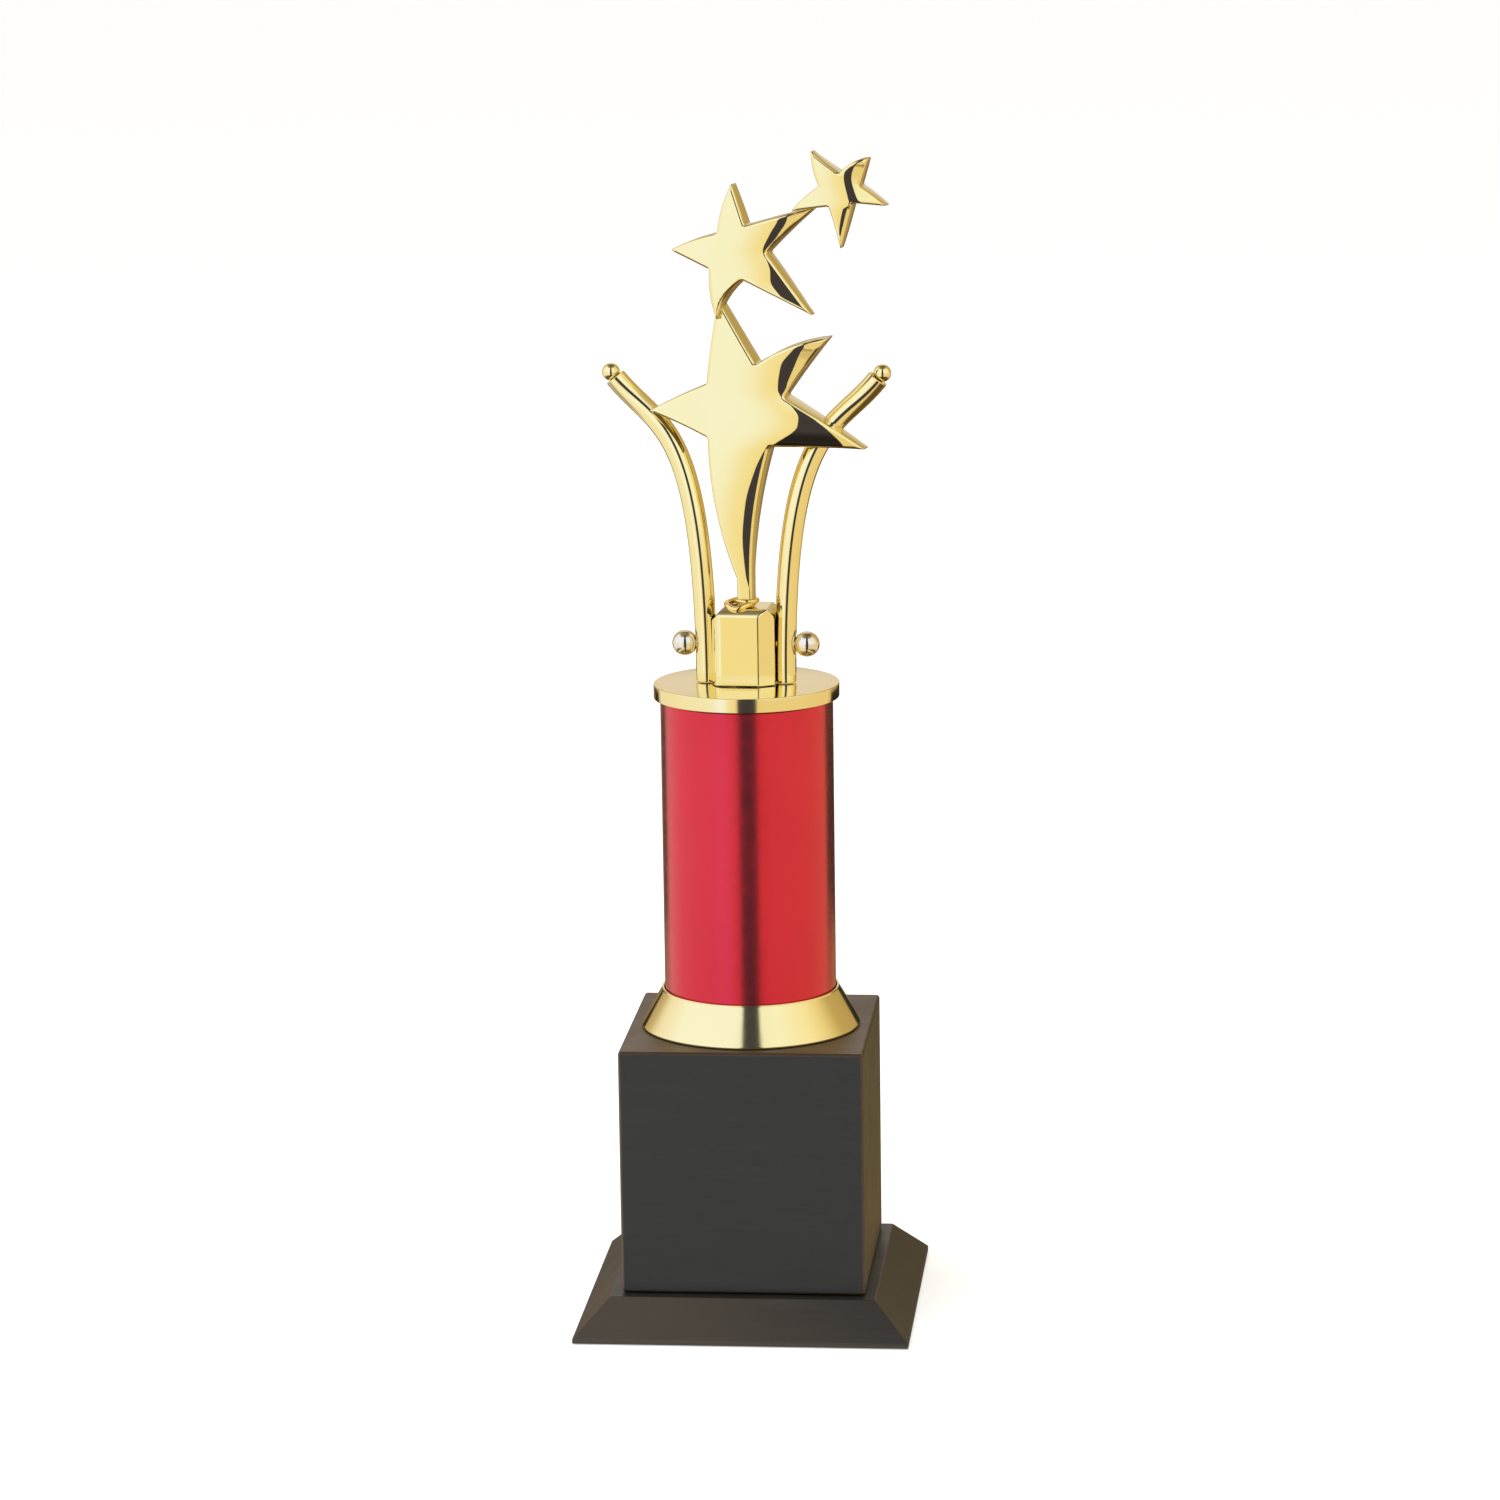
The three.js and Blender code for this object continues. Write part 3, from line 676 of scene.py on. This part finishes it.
def make_block():
    plan = fillet([p for p, _ in BLOCK_PLAN], [r for _, r in BLOCK_PLAN], 7)
    plan = dense(plan, 0.45)
    count = len(plan)
    heights = np.concatenate([
        [BLOCK_BOTTOM, BLOCK_BOTTOM + 0.08, BLOCK_BOTTOM + 0.2],
        np.linspace(BLOCK_BOTTOM + 1, BLOCK_TOP - 6, 14),
        np.linspace(BLOCK_TOP - 5.6, BLOCK_TOP, 24),
    ])
    verts, rings = [], []
    for z in heights:
        foot = max(0.0, BLOCK_FOOT_R - (z - BLOCK_BOTTOM)) ** 2 / BLOCK_FOOT_R
        right = BLOCK_HALF_X - foot - chamfer_at(RIGHT_CHAMFER, z)
        left = BLOCK_HALF_X - foot - chamfer_at(LEFT_CHAMFER, z)
        end = BLOCK_HALF_Y - foot - chamfer_at(END_CHAMFER, z)
        x = soft_limit(plan[:, 0], right, 0.05)
        x = -soft_limit(-x, left, 0.05)
        y = soft_limit(plan[:, 1], end, 0.05)
        y = -soft_limit(-y, end, 0.05)
        for side in (-1, 1):
            away = np.stack([x - side * ARM_FOOT_X, y], 1)
            reach = np.linalg.norm(away, axis=1)
            push = reach < ARM_R + GAP
            x = np.where(push, side * ARM_FOOT_X + away[:, 0] / reach * (ARM_R + GAP), x)
            y = np.where(push, away[:, 1] / reach * (ARM_R + GAP), y)
        rings.append(list(range(len(verts), len(verts) + count)))
        verts += [(a, b, z) for a, b in zip(x, y)]
    outer = np.array(verts[-count:])
    for share in (0.93, 0.8, 0.6, 0.35):
        rings.append(list(range(len(verts), len(verts) + count)))
        verts += [(a * share, b * share, BLOCK_TOP) for a, b, _ in outer]
    faces = bridge(list(zip(rings, rings[1:])), count)
    faces += cap(verts, rings[-1], (0, 0, BLOCK_TOP)) + cap(verts, rings[0], (0, 0, BLOCK_BOTTOM))
    place = turned_by(FIGURE_TURN)
    add_piece("block", verts, faces, GOLD, ["figure_block"], "polished_gold", place, crease=24)


make_block()

# ---------------------------------------------------------------- arms, finials and ball screws

ARM_LINE = [(11.7, 0, 188.5), (11.7, 0, 266.5), (25.8, 8.5, 260.7), (38.8, 8, 277)]
FINIAL_R = 2.6
FINIAL_OUT = 1.9
BALL_R = 3.75
BALL_X = 18.05
BALL_Z = 199.7
SHANK_R = 1.25
SHANK_END_X = 5.0
PEG_DEPTH = 6.3
# The arm's rounded end and the hole for the finial's peg: (radius, how far past the end).
ARM_END_RINGS = [
    (ARM_R - 0.1, -0.1), (ARM_R - 0.35, 0), (2.3, 0), (1.9, -0.12), (1.5, -0.2), (1.2, -0.25),
    (1.2, -PEG_DEPTH),
]


def arm_point(side, t):
    """A point on the arm's middle line, with t from 0 at its foot to 1 at its end."""
    a, b, c, d = (Vector((side * x, y, z)) for x, y, z in ARM_LINE)
    s = 1 - t
    return a * s ** 3 + b * 3 * s * s * t + c * 3 * s * t * t + d * t ** 3


def arm_way(side, t):
    """The way that the arm runs there."""
    a, b, c, d = (Vector((side * x, y, z)) for x, y, z in ARM_LINE)
    s = 1 - t
    return ((b - a) * s * s + (c - b) * 2 * s * t + (d - c) * t * t).normalized()


def make_arm(name, side):
    sides, rows = 48, 190
    rings, verts = [], []
    across = Vector((0, 1, 0))

    def ring(middle, way, radius):
        nonlocal across
        across = (across - way * across.dot(way)).normalized()
        other = way.cross(across)
        rings.append(list(range(len(verts), len(verts) + sides)))
        for k in range(sides):
            angle = 2 * math.pi * k / sides
            verts.append(middle + (across * math.cos(angle) + other * math.sin(angle)) * radius)

    start, start_way = arm_point(side, 0), arm_way(side, 0)
    for radius, rise in ((1.2, 0), (ARM_R - 0.25, 0), (ARM_R - 0.07, 0.08)):
        ring(start + start_way * rise, start_way, radius)
    for t in np.linspace(0.004, 0.9965, rows):
        ring(arm_point(side, t), arm_way(side, t), ARM_R)
    end, end_way = arm_point(side, 1), arm_way(side, 1)
    for radius, rise in ARM_END_RINGS:
        ring(end + end_way * rise, end_way, radius)
    faces = bridge(list(zip(rings, rings[1:])), sides)
    faces += cap(verts, rings[0], start) + cap(verts, rings[-1], end - end_way * PEG_DEPTH)
    # Hollows for the ball of the screw and for the finial, which leaves the peg's hole alone.
    seats = [
        (Vector((side * BALL_X, 0, BALL_Z)), BALL_R + GAP, False),
        (end + end_way * FINIAL_OUT, FINIAL_R + GAP, True),
    ]
    for centre, reach, at_end in seats:
        for index, vert in enumerate(verts):
            away = Vector(vert) - centre
            in_hole = at_end and (Vector(vert) - end).dot(end_way) <= -1
            if away.length < reach and not in_hole:
                verts[index] = centre + away.normalized() * reach
    figure = turned_by(FIGURE_TURN)
    add_piece(f"{name}_arm", verts, faces, GOLD, [f"{name}_arm_rod"], "polished_gold", figure)

    ball = arc((0, FINIAL_OUT), FINIAL_R, -68, 90, 26)
    peg = [(0, -6.0), (0.6, -6.0), (0.9, -5.7), (0.9, -0.35), (0.97, -0.2)]
    finial = [*peg, *ball[:-1], (0, FINIAL_OUT + FINIAL_R)]
    spin = Vector((0, 0, 1)).rotation_difference(end_way).to_matrix().to_4x4()
    spin.translation = end
    add_piece(f"{name}_finial", *lathe(finial, 48, False), GOLD, [f"{name}_arm_finial"],
              "polished_gold", figure @ spin)

    neck = BALL_X - SHANK_END_X
    ball = arc((0, neck), BALL_R, -68, 90, 34)
    shank = [(0, 0), (SHANK_R - 0.3, 0), (SHANK_R, 0.3), (SHANK_R, neck - BALL_R - 0.2),
             (SHANK_R + 0.1, neck - BALL_R + 0.1)]
    screw = [*shank, *ball[:-1], (0, neck + BALL_R)]
    turn = Matrix.Rotation(math.radians(90 * side), 4, "Y")
    turn.translation = Vector((side * SHANK_END_X, 0, BALL_Z))
    add_piece(f"{name}_ball", *lathe(screw, 64, False), STEEL, [f"{name}_ball_screw"],
              "polished_steel", figure @ turn)


make_arm("left", -1)
make_arm("right", 1)

# ---------------------------------------------------------------- stars

STAR_TURN = -8.0  # degrees
PLATE = 5.2
EDGE_R = 0.65
LEG_FOOT = 213.2
LEG_MIDDLE_X = 0.7
STAR_FORWARD = 1.2
# Where the camera stands, seen from the stars' own frame: a point that goes back by one
# slides by these along the line of sight.
SLIDE_X = 0.2401
SLIDE_Z = 0.2092

# Corners run clockwise from the top tip: (x, z, bulge of the edge to the next corner).
LARGE_STAR = [
    (-5.9, 88, -0.1), (4.8, 69.1, 1.3), (26.7, 77.5, -0.3), (13.1, 59.7, 0), (37.3, 45.3, -0.2),
    (8.6, 45.1, -1.5), (3, 6, 0), (3, -1.8, 0), (-1.6, -1.8, 0), (-1.7, 6.3, 2), (-9.8, 47.4, -0.3),
    (-27.3, 55.1, 0.3), (-9.9, 63.1, 0.4),
]
MEDIUM_STAR = [
    (-1, 121.6, 0), (2.9, 109.5, 0), (24, 115.5, -0.3), (9.1, 101.6, 0), (22.4, 83.9, 0),
    (1.8, 93.7, -1.2), (-5.9, 82, 0.9), (-8, 96.8, 0), (-19.4, 102.3, 0.5), (-5.5, 107.2, 0.8),
]
SMALL_STAR = [
    (23, 131.4, -0.3), (31.4, 125.1, 0.9), (39.8, 129.6, 0), (37.1, 121.6, 0.2), (45.1, 116.1, 0),
    (35, 116.5, 0), (31.4, 103.3, -0.2), (28, 115.4, -0.1), (16.9, 113.9, 0.4), (25.2, 121.2, 0.6),
]

# Dome on the back of each star: middle x, middle z, reach in x, reach in z, height.
LARGE_DOME = (8, 55, 32, 46, 4.4)
MEDIUM_DOME = (3.5, 102, 24, 23, 3.2)
SMALL_DOME = (31.5, 118, 15, 15, 2.8)

# The polished fold in each star's front: (z, where it starts, where it ends).
LARGE_FOLD = [
    (74.6, 16.9, 19.2), (73.5, 16, 18.4), (69, 12.5, 16.3), (62, 11.5, 13.7), (60, 12.4, 13.6),
    (57, 15.7, 17.6), (54, 17.5, 22), (51.5, 17.2, 24.8), (46.5, 10.8, 30.3), (44.5, 7.5, 31.5),
    (43.4, 6.8, 8.6), (38.5, 4.4, 6.9), (28, 1.3, 4.7), (18, 0.4, 3.3), (7.5, 1.2, 2.8), (0, 2.8, 3.6),
]
MEDIUM_FOLD = [
    (112.3, 12.9, 15.3), (107, 10.2, 12.4), (102.3, 8.2, 9.2), (99, 9.6, 11), (96.4, 10.3, 12.6),
    (94, 10.3, 14.4), (89.5, 13.1, 18), (85.2, 18, 21.5),
]
SMALL_FOLD = [
    (128.3, 35.2, 36.6), (126.7, 33.8, 35.5), (124, 32.8, 34.8), (118.2, 33.9, 36.3),
    (116, 34.4, 37.6), (115, 32.5, 33.6), (106.2, 31.2, 32),
]
# Slopes of the front: far to the left, just before the fold, on it, and after it.
FAR_LEFT = -0.02
BEFORE_FOLD = 0.085
ON_FOLD = 0.19
AFTER_FOLD = 0.355
CREASE = 0.12  # softness of the two creases that bound the fold
# The face falls away a little just inside its rounded edge.
LEAD_WIDTH = 0.18
LEAD_SLOPE = 0.21
# How far each plate's front stands ahead of the trophy's middle.
LARGE_FRONT = -3.8
MEDIUM_FRONT = -6.4
SMALL_FRONT = -9.0
MEDIUM_WIDE_EDGE = (-2, 88, 5)
TIP_BLUNTING = 0.6


def star_outline(corners, step=0.5):
    """Closed outline through the corners, with bowed edges and blunted corners."""
    points, marks = [], []
    for i, (x, z, bulge) in enumerate(corners):
        next_x, next_z, _ = corners[(i + 1) % len(corners)]
        length = math.hypot(next_x - x, next_z - z)
        scale = 2 * bulge / length
        here, there = np.array([x, z]), np.array([next_x, next_z])
        aside = np.array([z - next_z, next_x - x]) * scale
        control = (here + there) / 2 + aside
        count = max(2, round(length / step))
        for k in range(count):
            t = k / count
            points.append(here * (1 - t) ** 2 + control * 2 * t * (1 - t) + there * t * t)
            marks.append(min(k, count - k) * length / count)
    points, near = np.array(points), np.array(marks) < TIP_BLUNTING
    smooth = (np.roll(points, 1, 0) + points * 2 + np.roll(points, -1, 0)) / 4
    return np.where(near[:, None], smooth, points)


def distance_to(outline, points):
    """How far each point is inside a closed outline. Outside it is negative."""
    a, b = outline, np.roll(outline, -1, 0)
    along = b - a
    best = np.full(len(points), 1e9)
    inside = np.zeros(len(points), bool)
    for start in range(0, len(points), 2000):
        p = points[start:start + 2000, None, :]
        t = np.clip(((p - a) * along).sum(2) / (along ** 2).sum(1), 0, 1)
        best[start:start + 2000] = np.linalg.norm(a + t[..., None] * along - p, axis=2).min(1)
        crosses = (a[:, 1] > p[..., 1]) != (b[:, 1] > p[..., 1])
        rise = np.where(along[:, 1] == 0, 1e-12, along[:, 1])
        at = a[:, 0] + (p[..., 1] - a[:, 1]) / rise * along[:, 0]
        inside[start:start + 2000] = (crosses & (p[..., 0] < at)).sum(1) % 2 == 1
    return np.where(inside, best, -best)


def smooth_through(at, knots, values):
    """A smooth curve through the values at the knots that never overshoots, level beyond them."""
    step = np.diff(knots)
    secant = np.diff(values) / step
    slope = np.zeros(len(knots))
    both = secant[:-1] * secant[1:]
    total = np.where(both > 0, secant[:-1] + secant[1:], 1)
    slope[1:-1] = np.where(both > 0, 2 * both / total, 0)
    inside = np.clip(at, knots[0], knots[-1])
    k = np.clip(np.searchsorted(knots, inside) - 1, 0, len(step) - 1)
    t = (inside - knots[k]) / step[k]
    rise = t * t * (3 - 2 * t)
    bend = t * (1 - t) ** 2 * slope[k] - t * t * (1 - t) * slope[k + 1]
    return values[k] + (values[k + 1] - values[k]) * rise + bend * step[k]


def fold_lines(fold):
    """Heights, and for each where the fold starts and how wide it is."""
    table = np.array(sorted(fold))
    step, spread = 0.15, 0.3
    heights = np.arange(table[0, 0] - 3, table[-1, 0] + 3, step)
    kernel = np.exp(-0.5 * (np.arange(-8, 9) * step / spread) ** 2)
    kernel /= kernel.sum()
    start, end = (
        np.convolve(np.pad(smooth_through(heights, table[:, 0], column), 8, mode="edge"), kernel, "valid")
        for column in (table[:, 1], table[:, 2])
    )
    return heights, start, np.maximum(end - start, 0.3)


def softplus(u):
    """0 for u below 0 and u above it, with a smooth turn between them."""
    return CREASE * np.logaddexp(0, u / CREASE)


def fold_depth(lines, x, z, left_length):
    """How far the front lies behind its foremost plane at (x, z)."""
    heights, start, width = lines
    u = x - np.interp(z, heights, start)
    v = u - np.interp(z, heights, width)
    left = np.minimum(u, 0)
    rise = BEFORE_FOLD - FAR_LEFT
    depth = FAR_LEFT * left + rise * left_length * (np.exp(left / left_length) - 1)
    depth = depth + BEFORE_FOLD * np.maximum(u, 0)
    depth = depth + (ON_FOLD - BEFORE_FOLD) * softplus(u) + (AFTER_FOLD - ON_FOLD) * softplus(v)
    share = -FAR_LEFT / rise
    lowest = left_length * (FAR_LEFT * math.log(share) + rise * (share - 1))
    return depth - lowest


def back_dome(dome, x, z):
    """How far a star's domed back lies behind its flat back."""
    middle_x, middle_z, reach_x, reach_z, height = dome
    thickest = PLATE + height
    share = 1 - (PLATE / thickest) ** 2
    apart = ((x - middle_x) / reach_x) ** 2 + ((z - middle_z) / reach_z) ** 2
    rise = thickest * np.sqrt(np.maximum(1 - apart * share, 0)) - PLATE
    return (rise + np.sqrt(rise ** 2 + 0.2)) / 2


def arm_saddle(points):
    """Points in the stars' frame, moved forward where they would touch an arm."""
    place = turned_by(STAR_TURN).inverted() @ turned_by(FIGURE_TURN)
    reach = ARM_R + GAP
    for side in (-1, 1):
        for t in np.linspace(0.3, 1, 60):
            x, y, z = place @ arm_point(side, t)
            aside = (points[:, 0] - x) ** 2 + (points[:, 2] - (z - LEG_FOOT)) ** 2
            front = y - np.sqrt(np.maximum(reach ** 2 - aside, 0))
            near = (aside < reach ** 2) & (points[:, 1] > front)
            points[near, 1] = front[near]
    return points


def plate_points(outline, lines, grid_step):
    """Points inside a star: rows along its edge, an even field, and rows along the creases."""
    ahead = np.roll(outline, -1, 0) - np.roll(outline, 1, 0)
    inward = np.stack([ahead[:, 1], -ahead[:, 0]], 1) / np.linalg.norm(ahead, axis=1)[:, None]
    border = EDGE_R + LEAD_WIDTH
    rows = [EDGE_R * (1 - math.cos(math.radians(a))) for a in (20, 38, 56, 73, 90)]
    rows += [EDGE_R + LEAD_WIDTH * share for share in (0.15, 0.5, 0.85, 1.15)]
    inner = []
    for offset in rows:
        moved = outline + inward * offset
        inner.append(moved[distance_to(outline, moved) > offset * 0.985])
    low, high = outline.min(0), outline.max(0)
    across, upward = (np.arange(low[k], high[k], grid_step) for k in (0, 1))
    field = np.stack(np.meshgrid(across, upward), 2).reshape(-1, 2)
    inner.append(field[distance_to(outline, field) > border + grid_step * 0.6])
    at = np.arange(low[1], high[1], grid_step * 0.7)
    for line in (lines[1], lines[1] + lines[2]):
        for aside in (-0.45, -0.22, 0.0, 0.22, 0.45):
            crease = np.stack([np.interp(at, lines[0], line) + aside, at], 1)
            inner.append(crease[distance_to(outline, crease) > border + 0.1])
    return inner


def make_star(name, node, corners, front, fold, grid_step, dome,
              covered_by=None, left_length=6.0, wide_edge=None):
    """Plate whose front and back follow the same folded surface, thicker in the middle.

    covered_by holds the corners of the star that laps over this one. left_length is how fast
    the front turns flat to the left of the fold. wide_edge is the (x, z, reach) of a place where
    the rounded edge is twice as wide.
    """
    outline = star_outline(corners)
    count = len(outline)
    lines = fold_lines(fold)
    inner = plate_points(outline, lines, grid_step)
    points = np.concatenate([outline, *inner])
    loop = list(range(count))
    flat, _, triangles, origin, _, _ = delaunay_2d_cdt([Vector(p) for p in points], [], [loop], 1, 1e-5)
    flat = np.array([tuple(v) for v in flat])
    rim = {}
    for index, sources in enumerate(origin):
        for source in sources:
            if source < count:
                rim[source] = index

    cover = star_outline(covered_by) if covered_by else None

    def shape(points2, back):
        x, z = points2[:, 0], points2[:, 1]
        inside = np.maximum(distance_to(outline, points2), 0)
        edge = EDGE_R
        if wide_edge is not None and not back:
            wide_x, wide_z, reach = wide_edge
            edge = EDGE_R * (1 + np.exp(-((x - wide_x) ** 2 + (z - wide_z) ** 2) / reach ** 2))
        drop = edge - np.sqrt(np.maximum(edge ** 2 - np.maximum(edge - inside, 0) ** 2, 0))
        depth = fold_depth(lines, x, z, left_length)
        x2, z2 = x - SLIDE_X * depth, z - SLIDE_Z * depth
        if back:
            behind = front + PLATE + depth + back_dome(dome, x, z) - drop
            return arm_saddle(np.stack([x2, behind, z2], 1))
        drop = drop + LEAD_SLOPE * np.maximum(edge + LEAD_WIDTH - inside, 0)
        if cover is not None:
            under = np.clip((distance_to(cover, points2) - 0.1) / 0.5, 0, 1)
            drop = np.maximum(drop, under * (PLATE / 2 + GAP))
        return np.stack([x2, front + depth + drop, z2], 1)

    faced, backed = shape(flat, False), shape(flat, True)
    verts = np.concatenate([faced, backed])
    size = len(flat)
    faces = [tuple(reversed(t)) for t in triangles] + [tuple(i + size for i in t) for t in triangles]
    ring = [rim[k] for k in range(count)]
    for k in range(count):
        a, b = ring[k], ring[(k + 1) % count]
        faces.append((a, b, b + size, a + size))

    # Exact normals of the front, away from its rounded edge.
    tiny = 0.02
    inside = distance_to(outline, flat)
    if cover is not None:
        inside = np.minimum(inside, -distance_to(cover, flat))
    tangent_x = shape(flat + [tiny, 0], False) - shape(flat - [tiny, 0], False)
    tangent_z = shape(flat + [0, tiny], False) - shape(flat - [0, tiny], False)
    exact = np.cross(tangent_x, tangent_z)
    exact /= np.linalg.norm(exact, axis=1)[:, None]
    exact *= np.where(exact[:, 1] > 0, -1, 1)[:, None]
    normals = np.zeros((2 * size, 3))
    normals[:size][inside > EDGE_R * 0.9] = exact[inside > EDGE_R * 0.9]

    place = turned_by(STAR_TURN)
    place.translation = Vector((0, 0, LEG_FOOT))
    mesh_faces = consistent(verts, faces)
    return add_piece(name, verts, mesh_faces, GOLD, [node], "polished_gold", place, 40, normals)


def consistent(verts, faces):
    """The same faces, all wound so that their normals point outwards."""
    mesh = bpy.data.meshes.new("winding")
    mesh.from_pydata([tuple(v) for v in verts], [], faces)
    shape = bmesh.new()
    shape.from_mesh(mesh)
    bmesh.ops.recalc_face_normals(shape, faces=shape.faces)
    made = [[v.index for v in face.verts] for face in shape.faces]
    shape.free()
    bpy.data.meshes.remove(mesh)
    return made


make_star("star_large", "large_star", LARGE_STAR, LARGE_FRONT, LARGE_FOLD, 0.6, LARGE_DOME, MEDIUM_STAR)
make_star("star_medium", "medium_star", MEDIUM_STAR, MEDIUM_FRONT, MEDIUM_FOLD, 0.5, MEDIUM_DOME,
          SMALL_STAR, left_length=4.5, wide_edge=MEDIUM_WIDE_EDGE)
make_star("star_small", "small_star", SMALL_STAR, SMALL_FRONT, SMALL_FOLD, 0.4, SMALL_DOME,
          left_length=3.0)

# ---------------------------------------------------------------- collar

COLLAR_TURNS = 2.0
COLLAR_START = 150  # degrees
COLLAR_BAR_R = 0.72
COLLAR_R = 3.1
COLLAR_LIFT = 1.5


def make_collar():
    """A round bar coiled about the foot of the leg, wider and dipping at the front below."""
    steps, sides = 170, 20
    verts, rings = [], []
    for step in range(steps + 1):
        t = step / steps
        angle = math.radians(COLLAR_START) + 2 * math.pi * COLLAR_TURNS * t
        lower = min(1.0, max(0.0, 2.4 * t - 0.7))
        thick = (COLLAR_BAR_R + 0.18 * lower) * min(1.0, 0.25 + 9 * min(t, 1 - t))
        way = Vector((math.cos(angle), math.sin(angle), 0))
        dip = lower * (0.75 - 0.6 * min(way.x, 0) + 1.15 * min(way.y, 0) ** 6)
        middle = Vector((
            way.x * (COLLAR_R + 1.5 * lower) - 2.5 * lower,
            way.y * (COLLAR_R + 2.6 * lower) - 0.6 * lower,
            BLOCK_TOP + GAP + COLLAR_LIFT - dip,
        ))
        rings.append(list(range(len(verts), len(verts) + sides)))
        for k in range(sides):
            turn = 2 * math.pi * k / sides
            verts.append(middle + (way * math.cos(turn) + Vector((0, 0, math.sin(turn)))) * thick)
    faces = bridge(list(zip(rings, rings[1:])), sides)
    for ring in (rings[0], rings[-1]):
        faces += cap(verts, ring, sum((verts[i] for i in ring), Vector()) / sides)
    place = turned_by(STAR_TURN) @ Matrix.Translation((LEG_MIDDLE_X, -STAR_FORWARD, 0))
    add_piece("collar", verts, faces, COLLAR_GOLD, ["leg_collar"], "polished_gold", place)


make_collar()

# ---------------------------------------------------------------- hidden hardware

# These nodes keep their CAD bodies and only get better materials.
HIDDEN = {
    "left_dowel": BEECH, "right_dowel": BEECH, "tie_rod": ZINC, "tie_rod_washer": ZINC,
    "tie_rod_nut": ZINC, "tube_bottom_plug": PLASTIC, "tube_top_plug": PLASTIC, "leg_stud": ZINC,
}
for node, material in HIDDEN.items():
    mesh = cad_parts[node].data
    mesh.materials.clear()
    mesh.materials.append(material)
